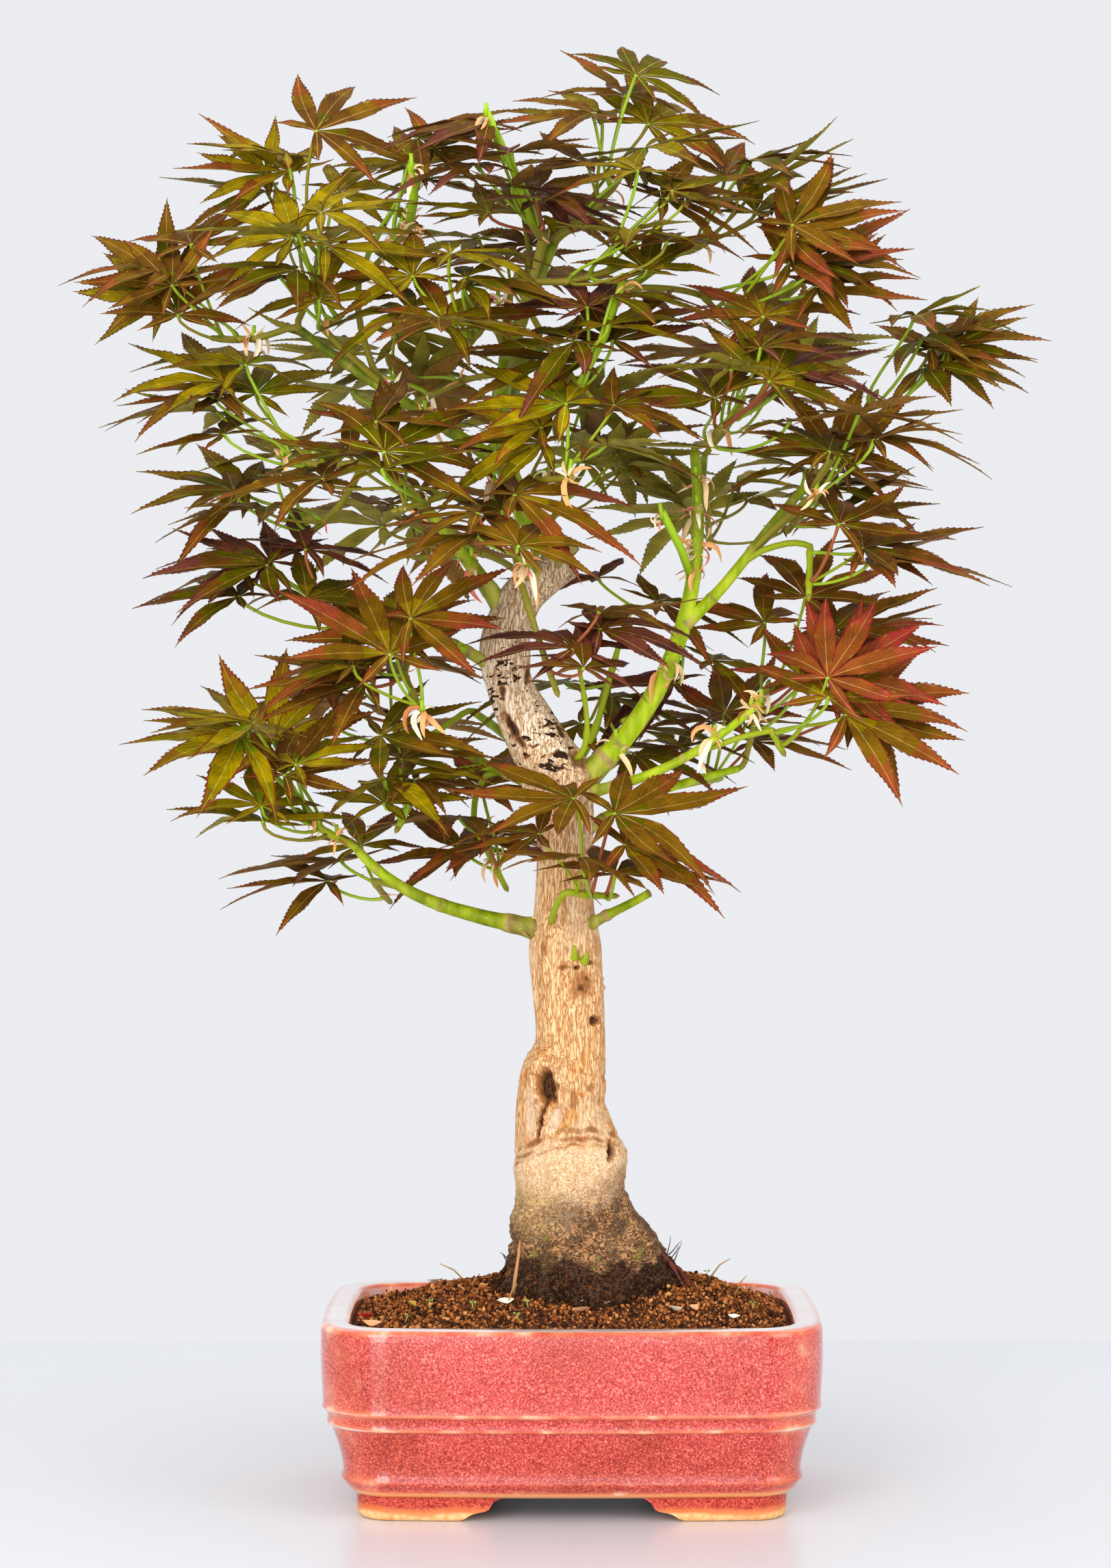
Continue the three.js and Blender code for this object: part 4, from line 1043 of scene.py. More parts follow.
rootTints = [newMaterial(*values) for values in footValues["tints"]]
for tint in rootTints:
    dress(tint, bumps=[(noiseOf(tint, 900, 3, (1, 1, 0.3)), 0.4, 0.0003)])
finishPiece("trunk_bark", buildTrunk(), [makeBark()], ["trunk"])
finishPiece("foot_soil", buildFootSoil(), granuleTints, ["soil"])
finishPiece("hair_roots", buildHairRoots(), rootTints, ["trunk"])
print("trunk ready")


# The boughs: name, where one starts (on what, and at which height of the trunk or share of a bough),
# the end, first and last slope in degrees, first and last radius, sideways push of the middle

boughValues = {
    "pull": 0.36,
    "sides": 14,
    "levels": 64,
    "nodeSpacing": 30,
    "nodeSwell": 0.13,
    "footSwell": 0.42,
    "collarSwell": 0.17,
    "collarAt": 11,  # how far out of the trunk a bough's collar ends
    "roughness": 0.06,
    "leaderFrom": 400,
    "rows": [
        ["leader", "trunk", 401, [-8, 0, 538], [70, 80], [5.6, 2.6], [-30, 0]],
        ["bough_right", "trunk", 300, [53, -4, 448], [40, 88], [5, 2.2], [8, 0]],
        ["bough_right_low", "trunk", 300, [80, -22, 340], [6, 42], [2.4, 1.6]],
        ["bough_right_lower", "trunk", 277, [74, 40, 312], [40, 12], [2.6, 1.6]],
        ["bough_lowest_right", "trunk", 236, [33, -20, 259], [44, 30], [2.4, 1.7]],
        ["bough_lowest_left", "trunk", 240, [-92, -2, 277], [14, 50], [4, 2]],
        ["bough_left_mid", "trunk", 303, [-58, 22, 327], [12, 35], [2.6, 1.7]],
        ["bough_left_upper", "trunk", 352, [-80, -10, 374], [30, 4], [2.6, 1.7]],
        ["bough_upper_left", "trunk", 376, [-84, -6, 442], [52, 34], [3.6, 2]],
        ["bough_front", "trunk", 392, [-34, -50, 436], [34, 60], [3, 1.9]],
        ["bough_back", "trunk", 356, [-14, 74, 418], [44, 40], [3.6, 2]],
        ["bough_back_low", "trunk", 306, [-44, 66, 338], [30, 20], [2.8, 1.7]],
        ["bough_high_left", "leader", 0.3, [-116, -6, 500], [34, 38], [3, 1.8]],
        ["bough_high_right", "leader", 0.62, [44, -6, 532], [30, 34], [2.6, 1.7]],
        ["bough_high_back", "leader", 0.45, [-14, 62, 508], [36, 44], [2.8, 1.8]],
        ["bough_high_front", "leader", 0.5, [-26, -48, 512], [40, 50], [2.8, 1.8]],
        ["bough_right_out", "bough_right", 0.55, [104, 4, 436], [38, 42], [2.6, 1.7]],
        ["bough_right_back", "bough_right", 0.7, [60, 62, 452], [44, 36], [2.6, 1.7]],
    ],
}


def direction(compass, pitch):
    flat = math.cos(math.radians(pitch))
    turn = math.radians(compass)
    return np.array([math.cos(turn) * flat, math.sin(turn) * flat, math.sin(math.radians(pitch))])


def trunkPointAt(z):
    stations = trunkValues["stations"]
    i = max(1, next(k for k, station in enumerate(stations) if station[2] >= z))
    below, above = np.array(stations[i - 1][:3], float), np.array(stations[i][:3], float)
    return below + (above - below) * (z - below[2]) / (above[2] - below[2])


limbs = {}
heights, girths = ([station[k] for station in trunkValues["stations"]] for k in (2, 3))
for name, source, at, end, rise, radii, *push in boughValues["rows"]:
    start = trunkPointAt(at) if source == "trunk" else bezier(limbs[source]["curve"], at)
    end = np.array(end, float)
    span = np.linalg.norm(end - start) * boughValues["pull"]
    compass = math.degrees(math.atan2(end[1] - start[1], end[0] - start[0]))
    bow = np.array([*(push[0] if push else (0, 0)), 0])
    first = start + direction(compass, rise[0]) * span + bow
    second = end - direction(compass, rise[1]) * span + bow
    ringed = source == "trunk" and at < boughValues["leaderFrom"]  # with a collar where it leaves the trunk
    depth = np.interp(at, heights, girths) - 1 if ringed else 2  # of its start in what it grows from
    limbs[name] = {"curve": [start, first, second, end], "radii": radii, "depth": depth, "ring": ringed}


def lengthOf(curve):
    route = np.array([bezier(curve, share) for share in np.linspace(0, 1, 200)])
    return np.linalg.norm(np.diff(route, axis=0), axis=1).sum()


def buildBoughs():
    bm = bmesh.new()
    collarLayer = bm.verts.layers.float.new("collar")
    sides, levels = boughValues["sides"], boughValues["levels"]
    angles = around(sides)
    for number, (name, limb) in enumerate(limbs.items()):
        length = lengthOf(limb["curve"])
        nodes = max(2, round(length / boughValues["nodeSpacing"]))
        shares = np.linspace(0, 1, levels)
        route = np.array([bezier(limb["curve"], share) for share in shares])
        frames = framesAlong(route)
        ring = None
        for share, middle, (across, other) in zip(shares, route, frames):
            radius = between(*limb["radii"], share)
            beside = (share * nodes + 0.37 * number) % 1 - 0.5  # distance to the nearest node, in spacings
            ridge = math.exp(-((beside * length / nodes) / 1.3) ** 2)
            out = share * length - limb["depth"]
            foot = boughValues["footSwell"] * math.exp(-max(0, out) / 6)  # where it leaves its parent
            collar = math.exp(-((out - boughValues["collarAt"]) / 1.6) ** 2) * limb["ring"]
            swell = boughValues["nodeSwell"] * ridge + foot + boughValues["collarSwell"] * collar
            points = []
            for angle in angles:
                way = across * math.cos(angle) + other * math.sin(angle)
                rough = boughValues["roughness"] * noise.noise(Vector(middle * 0.09 + way * 1.3))
                points.append(Vector(middle + way * radius * (1 + swell + rough)))
            ring = extrudeRing(bm, ring, points) if ring else startRing(bm, points)
            inner = 0.62 if limb["ring"] and out < boughValues["collarAt"] else 0
            for vert in ring:
                vert[collarLayer] = max(0.85 * ridge, 2 * foot, 1.1 * collar, inner)
        capRing(bm, ring)
    return meshOf(bm, "boughs")


def makeYoungBark():
    young = newMaterial("youngBark", (160, 180, 20), 0.45, 0.2)
    streak = noiseOf(young, 190, 4, (1, 1, 0.3))
    patch = noiseOf(young, 24, 3)
    dots = noiseOf(young, 620, 2)
    lime = rampOf(young, streak, [(0.3, (134, 158, 0)), (0.5, (166, 190, 4)), (0.7, (198, 214, 44))])
    deep = rampOf(young, streak, [(0.3, (98, 112, 0)), (0.5, (130, 144, 4)), (0.7, (160, 168, 34))])
    color = layOver(young, lime, deep, patch, 0.46, 0.62)
    color = layOver(young, color, (212, 214, 140), dots, 0.68, 0.72, 0.6)
    # painted shade: the boughs higher up, inside the crown, turn a darker green
    shaded = rampOf(young, streak, [(0.3, (70, 82, 6)), (0.5, (104, 114, 12)), (0.7, (142, 146, 34))])
    color = layOver(young, color, shaded, placeOf(young, "Z"), 0.37, 0.46, 0.75)
    brown = rampOf(young, streak, [(0.3, (96, 62, 34)), (0.6, (186, 150, 98))])
    color = layOver(young, color, brown, attributeOf(young, "collar"), 0.35, 0.95, 0.88)
    return dress(young, color, rangeOf(young, patch, 0.3, 0.7, 0.36, 0.56), [(streak, 0.3, 0.0005)])


finishPiece("boughs", buildBoughs(), [makeYoungBark()], list(limbs))
print("boughs ready:", len(limbs))


# The masses: name, bough, middle, half the space that one keeps to, leaves, the compass direction that
# they spread round, how far they spread, how far their faces turn to the front, and their tint

crownValues = {
    "leafLength": 47,
    "lobeAngles": [-122, -76, -38, 0, 38, 76, 122],
    "lobeShares": [0.42, 0.8, 0.96, 1, 0.96, 0.8, 0.42],
    "twigRadius": 1.3,
    "nodeLength": 2.2,
    "firstNodeAt": 0.42,
    "limbClearance": 5,
    "flatness": 1.8,  # leaves lie closer above each other than side by side
    "tries": 40,
    "size": (0.86, 1.12),
    "room": (14, 5, 7),  # how far a leaf may pass its mass's space, and its clearance to own and other leaves
    "youngShare": 0.14,  # smaller leaves to each grown one
    "youngTries": 24,
    "youngSize": (0.72, 1.02),
    "youngRoom": (6, 2.6, 3.2),
    "youngReach": 1.12,
    "youngSeed": 700000,
    "shootSeed": 300,
    "turnAway": 0.72,  # share of the leaves facing the viewer that turn away
    # finer shoots that the masses leave out: points, radii
    "shoots": [
        ([(0, 8, 312), (13, 12, 322), (14, 18, 350), (27, 22, 384)], (1.7, 1.1)),
        ([(2, -8, 316), (10, -16, 322), (6, -14, 340), (3, -18, 356)], (1.4, 0.9)),
        ([(22, 0, 332), (36, 10, 338), (44, 18, 352), (50, 22, 372)], (1.5, 1.0)),
        ([(1, -9, 230), (1.2, -14, 231), (1.6, -15, 233), (1.2, -15.5, 236.5)], (2.2, 0.5)),
        ([(5, -9, 229), (5.4, -13.5, 229), (6.0, -14.5, 231), (6.8, -14.5, 233.5)], (2.2, 0.5)),
    ],
    # and their leaves: shoot, share of it, palm, heading, lean, size, tint
    "shootLeaves": [
        (0, 0.62, (-2, 34, 350), 170, 14, 0.95, "olive"), (0, 0.72, (18, 38, 344), -15, 12, 0.9, "bronze"),
        (0, 0.84, (4, 32, 332), 205, 22, 0.85, "bronze"), (0, 0.98, (38, 34, 386), 25, 10, 0.9, "olive"),
        (0, 0.99, (12, 30, 396), 140, 16, 0.9, "plum"), (2, 0.7, (30, 44, 330), 20, 12, 0.95, "olive"),
        (2, 0.85, (62, 34, 360), 10, 14, 0.9, "bronze"), (2, 0.99, (46, 40, 350), 165, 20, 0.85, "plum"),
        (0, 0.5, (28, 26, 318), -30, 8, 0.8, "plum"),
    ],
    "masses": [
        ["crown_tip", "leader", [26, -4, 594], [50, 42, 26], 6, 60, 320, 22, "bronze"],
        ["top_right", "bough_high_right", [70, -4, 562], [46, 40, 20], 5, 10, 220, 16, "bronze"],
        ["top_left", "bough_high_left", [-114, -6, 568], [44, 40, 30], 5, 120, 240, 40, "golden"],
        ["top_mid_left", "bough_high_left", [-72, -10, 572], [36, 38, 24], 4, 110, 240, 26, "olive"],
        ["top_centre", "leader", [-26, -24, 570], [46, 42, 26], 6, 150, 330, 24, "plum"],
        ["top_mid_right", "bough_high_front", [30, -52, 548], [44, 40, 26], 6, 20, 300, 26, "bronze"],
        ["far_left_high", "bough_high_left", [-164, -6, 522], [42, 40, 24], 5, 160, 200, 34, "olive"],
        ["left_high", "bough_high_left", [-108, -52, 528], [44, 40, 30], 6, 180, 330, 34, "olive"],
        ["right_high", "bough_high_right", [78, -34, 528], [54, 42, 28], 6, 40, 280, 40, "russet"],
        ["far_right", "bough_right_out", [142, -10, 496], [46, 42, 24], 5, 20, 240, 40, "bronze"],
        ["left_mid", "bough_upper_left", [-136, -16, 472], [48, 42, 26], 6, 165, 240, 24, "olive"],
        ["left_mid_low", "bough_upper_left", [-130, 20, 436], [52, 42, 20], 5, 180, 240, 14, "bronze"],
        ["centre_high", "bough_high_front", [-54, -72, 510], [44, 38, 26], 6, 200, 320, 26, "olive"],
        ["centre_right_high", "bough_high_front", [12, -72, 494], [42, 38, 26], 5, 60, 320, 26, "plum"],
        ["right_mid", "bough_right", [74, -52, 476], [54, 42, 22], 6, -30, 300, 20, "plum"],
        ["right_inner", "bough_right_out", [112, -68, 448], [46, 40, 24], 4, -10, 280, 20, "bronze"],
        ["right_mid_low", "bough_right_out", [106, 20, 440], [44, 40, 20], 4, 20, 220, 16, "bronze"],
        ["right_low", "bough_right_out", [112, -26, 408], [46, 40, 20], 4, 10, 200, 16, "russet"],
        ["right_lower", "bough_right_lower", [100, 26, 372], [58, 42, 20], 5, 20, 280, 14, "russet"],
        ["right_red", "bough_right_low", [102, -34, 344], [48, 40, 32], 4, 8, 150, 44, "red"],
        ["left_low_mid", "bough_left_upper", [-118, -8, 396], [56, 42, 18], 5, 180, 260, 18, "plum"],
        ["left_inner", "bough_left_upper", [-74, -44, 362], [48, 38, 26], 5, 160, 300, 28, "russet"],
        ["left_low", "bough_lowest_left", [-130, -20, 320], [54, 44, 30], 7, 185, 280, 28, "golden"],
        ["left_low_in", "bough_left_mid", [-86, -14, 312], [46, 40, 28], 5, 190, 300, 26, "bronze"],
        ["lowest_left", "bough_lowest_left", [-92, 34, 272], [48, 38, 14], 3, 170, 160, 6, "bronze"],
        ["low_centre_left", "bough_left_mid", [-40, 34, 288], [44, 38, 28], 4, 190, 260, 14, "russet"],
        ["low_front", "bough_lowest_right", [8, -52, 284], [48, 38, 26], 5, -40, 300, 18, "russet"],
        ["trunk_front", "bough_front", [4, -60, 366], [42, 36, 20], 4, 0, 260, 18, "plum"],
        ["centre_front", "bough_front", [-30, -88, 414], [44, 38, 18], 4, 180, 320, 18, "russet"],
        ["left_front", "bough_front", [-84, -74, 440], [50, 40, 20], 5, 180, 300, 16, "bronze"],
        ["centre_mid_right", "bough_front", [4, -84, 456], [42, 36, 22], 5, 60, 320, 26, "golden"],
        ["right_inner_back", "bough_right_lower", [66, 66, 330], [46, 40, 20], 4, 60, 240, 4, "russet"],
        ["back_top", "bough_high_back", [-24, 66, 556], [50, 44, 26], 6, 90, 340, -10, "bronze"],
        ["back_left", "bough_high_back", [-88, 86, 498], [50, 44, 26], 6, 120, 280, -14, "olive"],
        ["back_right", "bough_right_back", [84, 84, 502], [52, 44, 26], 6, 60, 280, -14, "bronze"],
        ["back_centre", "bough_back", [2, 112, 466], [48, 44, 26], 6, 90, 300, -18, "olive"],
        ["back_left_mid", "bough_back", [-76, 100, 430], [48, 44, 22], 5, 120, 260, -14, "bronze"],
        ["back_right_mid", "bough_right_back", [70, 110, 436], [48, 42, 22], 5, 60, 260, -14, "golden"],
        ["back_low", "bough_back_low", [-88, 88, 346], [50, 42, 26], 5, 120, 260, -8, "russet"],
    ],
}


def turnMatrix(degrees, axis):
    return np.array(Matrix.Rotation(math.radians(degrees), 3, axis))


def growMass(row):
    name, bough, middle, reach, leaves, fan, spread, lean, tint = row
    middle, reach, tilt = np.array(middle, float), np.array(reach, float), turnMatrix(lean, "X")
    start = np.array(limbs[bough]["curve"][3])
    back = direction(fan, 0) * -0.25 * reach[0] + np.array([0, 0, -0.8 * reach[2] - 7])
    hub = middle + tilt @ back
    bend = start + (hub - start) * 0.55 - np.array([0, 0, np.linalg.norm(hub - start) * 0.08])
    curve = [start, bend, hub]
    nodes = math.ceil(leaves / 2)
    length = lengthOf(curve)
    first, half = crownValues["firstNodeAt"], crownValues["nodeLength"] / 2 / length
    marks = [0.0]
    for node in range(nodes):
        centre = first + (1 - first) * (node + 0.5) / nodes
        marks += [centre - half, centre + half]
    marks.append(1.0)
    route = np.array([bezier(curve, mark) for mark in marks])
    thick, thin = limbs[bough]["radii"][1] * 0.85, crownValues["twigRadius"]
    rings = ringsAlong(route, [between(thick, thin, mark) for mark in marks], 4)
    sites = []
    for node in range(nodes):
        for side in range(4):
            low, high = rings[1 + 2 * node], rings[2 + 2 * node]
            corners = [low[side], low[(side + 1) % 4], high[(side + 1) % 4], high[side]]
            outward = unit(np.cross(corners[1] - corners[0], corners[3] - corners[0]))
            sites.append({"node": node, "middle": (corners[0] + corners[2]) / 2, "outward": outward, "taken": False})
    return {
        "name": name, "bough": bough, "middle": middle, "reach": reach, "leaves": leaves, "fan": fan, "spread": spread,
        "lean": lean, "tint": tint, "tilt": tilt, "curve": curve, "nodes": nodes, "sites": sites, "marks": marks,
        "radii": (thick, thin), "grown": [], "ribs": np.zeros((0, 3)),
    }


def leafPlace(mass, seed, share, dealtStart, attempt, sizes, roomShare=1.0):
    random = seeded(seed)
    dealt = (dealtStart + 0.31 * attempt + 0.1 * random()) % 1
    compass = mass["fan"] + mass["spread"] * (dealt - 0.5)
    size = between(*sizes, random())
    length = crownValues["leafLength"] * size * (1 - 0.006 * attempt)
    room = max(8, mass["reach"][0] - 0.7 * length) * roomShare
    outward = room * math.sqrt(share) + (4 + 0.3 * attempt) * random()
    turn = math.radians(compass)
    lift = mass["reach"][2] * (0.65 - 1.35 * share) + (7 + 0.5 * attempt) * (random() - 0.5)
    palm = mass["middle"] + mass["tilt"] @ np.array([math.cos(turn) * outward, math.sin(turn) * outward, lift])
    heading = compass + 34 * (random() - 0.5)
    towards = math.sin(math.radians(heading)) * (-1 if mass["lean"] > 0 else 1)
    if towards > 0 and random() < crownValues["turnAway"]:
        heading, towards = -heading, -towards
    dip = 12 * share - 6 + 14 * (random() - 0.4) - 8 * max(0, towards)
    away = max(0, -towards)
    lean = mass["lean"] * (0.5 + 0.9 * random()) * (1 - 0.5 * max(0, towards))
    lean += math.copysign(away * (4 + 30 * random() ** 2), mass["lean"])
    roll = 30 * (random() - 0.5)
    facing = turnMatrix(lean, "X") @ turnMatrix(heading, "Z") @ turnMatrix(dip, "Y") @ turnMatrix(roll, "X")
    return {"palm": palm, "facing": facing, "length": length, "droop": 0.05 + 0.13 * random()}


def leafPoints(place, x, y, lift=0.0):  # points of a leaf from their flat places round the palm
    away = np.hypot(x, y)
    sag = place["droop"] * place["length"] * (away / place["length"]) ** 1.7
    return np.stack([x, y, lift - sag], axis=-1) @ place["facing"].T + place["palm"]


def ribPoints(place):
    angles = np.radians(crownValues["lobeAngles"])[:, None]
    away = np.array([0.35, 0.65, 0.95]) * np.array(crownValues["lobeShares"])[:, None] * place["length"]
    x, y = (np.cos(angles) * away).ravel(), (np.sin(angles) * away).ravel()
    return np.concatenate([place["palm"][None], leafPoints(place, x, y)])


def isNear(points, others, clearance):
    if not len(others):
        return False
    away = points[:, None, :] - others[None, :, :]
    away[:, :, 2] *= crownValues["flatness"]
    return bool(((away**2).sum(axis=2) < clearance * clearance).any())


def bestSite(mass, place, index, sharing):
    wanted = mass["nodes"] - 1 - index // 2
    up = place["facing"] @ np.array([0, 0, 1.0])
    best, bestScore = None, -9
    for site in mass["sites"]:
        if site["taken"] and not sharing:
            continue
        toPalm = unit(place["palm"] - site["middle"])
        faces, bend = site["outward"].dot(toPalm), toPalm.dot(up)
        if faces < 0.2 or bend < 0.25:
            continue
        score = faces + bend - 0.3 * abs(site["node"] - wanted)
        if score > bestScore:
            best, bestScore = site, score
    return best


def growCrown():
    masses = [growMass(row) for row in crownValues["masses"]]
    limbRibs = [np.array(station[:3], float)[None] for station in trunkValues["stations"]]
    for limb in limbs.values():
        limbRibs.append(np.array([bezier(limb["curve"], (i + 1) / 14) for i in range(14)]))
    limbRibs = np.concatenate(limbRibs)

    def tryLeaf(mass, place, index, room, sharing):
        margin, ownClearance, otherClearance = room
        ribs = ribPoints(place)
        if (np.abs(ribs - mass["middle"]) > mass["reach"] + margin).any():
            return False
        if isNear(ribs[1:], limbRibs, crownValues["limbClearance"]) or isNear(ribs, mass["ribs"], ownClearance):
            return False
        if any(isNear(ribs, other["ribs"], otherClearance) for other in masses if other is not mass):
            return False
        site = bestSite(mass, place, index, sharing)
        if site is None:
            return False
        site["taken"] = True
        mass["grown"].append({"place": place, "site": site})
        mass["ribs"] = np.concatenate([mass["ribs"], ribs])
        return True

    for number, mass in enumerate(masses):
        for index in range(mass["leaves"]):
            share = (index + 0.5) / mass["leaves"]
            for attempt in range(crownValues["tries"]):
                seed = 5000 * number + 50 * index + attempt + 1
                place = leafPlace(mass, seed, share, 0.618 * index, attempt, crownValues["size"])
                if tryLeaf(mass, place, index, crownValues["room"], False):
                    break
    sizes, roomShare = crownValues["youngSize"], crownValues["youngReach"]
    for number, mass in enumerate(masses):  # smaller leaves fill in between
        young = round(mass["leaves"] * crownValues["youngShare"])
        for index in range(young):
            share = (index + 0.5) / young
            for attempt in range(crownValues["youngTries"]):
                seed = crownValues["youngSeed"] + 5000 * number + 50 * index + attempt
                place = leafPlace(mass, seed, share, 0.618 * index + 0.35, attempt, sizes, roomShare)
                if tryLeaf(mass, place, index, crownValues["youngRoom"], True):
                    break
    return masses


def growShoots():
    grown = []
    for number, (source, share, palm, heading, lean, size, tint) in enumerate(crownValues["shootLeaves"]):
        random = seeded(crownValues["shootSeed"] + number)
        start = bezier(crownValues["shoots"][source][0], share)
        roll = 24 * (random() - 0.5)
        facing = turnMatrix(lean, "X") @ turnMatrix(heading, "Z") @ turnMatrix(6, "Y") @ turnMatrix(roll, "X")
        place = {"palm": np.array(palm, float), "facing": facing, "length": crownValues["leafLength"] * size,
                 "droop": 0.06 + 0.1 * random()}
        site = {"middle": start, "outward": unit(place["palm"] - start)}
        grown.append({"place": place, "site": site, "tint": tint})
    return grown


masses = growCrown()
shootLeaves = growShoots()
leafCount = sum(len(mass["grown"]) for mass in masses) + len(shootLeaves)
print("crown grown:", len(masses), "masses,", leafCount, "leaves")


# Twigs and stalks

twigValues = {
    "stalkRadius": 0.62,
    "jointRadius": 1.0,
    "stalkSeed": 9000,
    "tones": [(152, 166, 22), (150, 178, 40), (168, 138, 66), (166, 88, 50), (140, 130, 36)],
    "bend": (0.2, 0.475),  # the part of a twig that is rounded, where the bough's direction meets its own curve
    "roundings": 8,
    "fromTrunk": {"low_front": (-9, -8, 245)},  # masses whose twig comes out of the trunk's front
}


def twigSpot(mass, share):
    # the twig leaves its bough in the bough's own direction, and before its end where it would double back
    first, curve = crownValues["firstNodeAt"], mass["curve"]
    spot = bezier(curve, share)
    if share < first:
        bough = limbs[mass["bough"]]["curve"]
        leaving, rest = 2 * (curve[1] - curve[0]), 1 - share / first
        turned = unit(bough[3] - bough[2]).dot(unit(leaving))
        back = turned < 0
        at = max(0.42, 0.7 + 0.55 * turned) if back else 1
        ahead = unit(bezier(bough, at) - bezier(bough, at - 0.05))
        spot = spot + (ahead * np.linalg.norm(leaving) * (0.5 if back else 1) - leaving) * share * rest**2
        spot = spot + (bezier(bough, at) - curve[0]) * rest**2 * (3 - 2 * rest)
    return spot


def twigRoute(mass):  # points along the twig, and the share of its way for each
    beside = {mark + step for mark in mass["marks"][1:-1] for step in (-0.004, 0.004)}
    shares = [min(1.0, max(0.0, share)) for share in sorted(set(np.linspace(0, 1, 15)) | beside)]
    if mass["name"] in twigValues["fromTrunk"]:
        start, hub = np.array(twigValues["fromTrunk"][mass["name"]], float), mass["curve"][2]
        curve = [start, start + np.array([1, -14, 5]), hub - unit(mass["curve"][1] - hub) * 4, hub]
        rise = [bezier(curve, share) for share in np.linspace(0, 1, 8)]
        nodes = [bezier(mass["curve"], share) for share in reversed(shares) if share > crownValues["firstNodeAt"]]
        route = rise + nodes[1:]
        return route, np.linspace(0, 1, len(route))
    route = [twigSpot(mass, share) for share in shares]
    bendStart, bendEnd = twigValues["bend"]
    for _ in range(twigValues["roundings"]):
        for i in range(1, len(route) - 1):
            if bendStart < shares[i] < bendEnd:
                route[i] = (route[i - 1] + route[i] * 2 + route[i + 1]) / 4
    return route, shares


def buildTwigs():
    parts = []
    for number, mass in enumerate(masses):
        route, shares = twigRoute(mass)
        thick, thin = mass["radii"]
        nodeMarks = [(a + b) / 2 for a, b in zip(mass["marks"][1:-1:2], mass["marks"][2:-1:2])]
        length = lengthOf(mass["curve"])
        radii = []
        for share in shares:
            beside = min(abs(share - mark) for mark in nodeMarks) * length
            radii.append(between(thick, thin, share) * (1 + 0.3 * math.exp(-(beside / 2) ** 2)))
        parts.append(tubePart(route, radii, 9, 4 if number % 3 == 0 or mass["middle"][2] > 430 else 0))
        ahead = unit(route[-1] - route[-2])  # a bud ends the twig
        bud = [route[-1] - ahead * 0.5, route[-1] + ahead * 1.1, route[-1] + ahead * 2.1, route[-1] + ahead * 3.2]
        parts.append(tubePart(bud, [thin * 0.95, thin, thin * 0.7, 0.12], 9, 4))
        for mark in nodeMarks:  # a brown ring at each node
            spots = [bezier(mass["curve"], mark + d / length) for d in (-1.9, -1.2, -0.6)]
            radius = between(thick, thin, mark) * 1.22
            parts.append(tubePart(spots, [radius * 0.95, radius, radius * 0.9], 9, 2))
    for curve, radii in crownValues["shoots"]:
        route = [bezier(curve, share) for share in np.linspace(0, 1, 15)]
        rings = 1 + 0.35 * np.array([0, 0, 0, 0, 0, 1, 0, 0, 0, 0, 1, 0, 0, 0, 0])
        parts.append(tubePart(route, np.linspace(*radii, 15) * rings, 9, 0))
    return joinParts("twigs", parts)


def buildStalks():
    parts = []
    sprays = [(mass["grown"], mass["tint"]) for mass in masses] + [(shootLeaves, "olive")]
    for number, (grown, tintName) in enumerate(sprays):
        for index, leaf in enumerate(grown):
            place, site = leaf["place"], leaf["site"]
            random = seeded(31 * number + index + twigValues["stalkSeed"])
            up = place["facing"] @ np.array([0, 0, 1.0])
            back = place["facing"] @ np.array([-1.0, 0, 0])
            end = place["palm"] - up * 0.5
            start = site["middle"] - site["outward"] * 0.9
            span = np.linalg.norm(end - start)
            curve = [start, start + site["outward"] * span * 0.2, end - up * span * 0.2 + back * span * 0.1, end]
            route = [bezier(curve, share) for share in np.linspace(0, 1, 8)]
            size = 0.4 * place["length"] / crownValues["leafLength"]
            base = twigValues["stalkRadius"] * (0.8 + size)
            radii = [base * swell for swell in (1.7, 1.15, 1, 1, 1, 1, 1, 1.25)]  # thicker at both ends
            draw = random()
            tint = 1 if draw < 0.5 else 0 if draw < 0.74 else 3 if tintName in ("red", "russet", "plum") else 4
            parts.append(tubePart(route, radii, 6, tint))
            knob = [end - up * 0.7, end, end + up * 0.55, end + up * 0.8]
            joint = twigValues["jointRadius"] * (0.7 + size)
            parts.append(tubePart(knob, [joint * 0.7, joint, joint * 0.8, joint * 0.2], 7, 1))
    return joinParts("stalks", parts)


twigTints = makeTints(numbered("twig", twigValues["tones"]), 0.45, 0.2, (700, 3, (1, 1, 0.4)), 0.25, 0.0002)
massNodes = ["mass_" + mass["name"] for mass in masses]
finishPiece("twigs", buildTwigs(), twigTints, massNodes)
finishPiece("stalks", buildStalks(), twigTints, massNodes)
print("twigs and stalks ready")


# Papery bud scales round the nodes, and the stubs of cut twigs

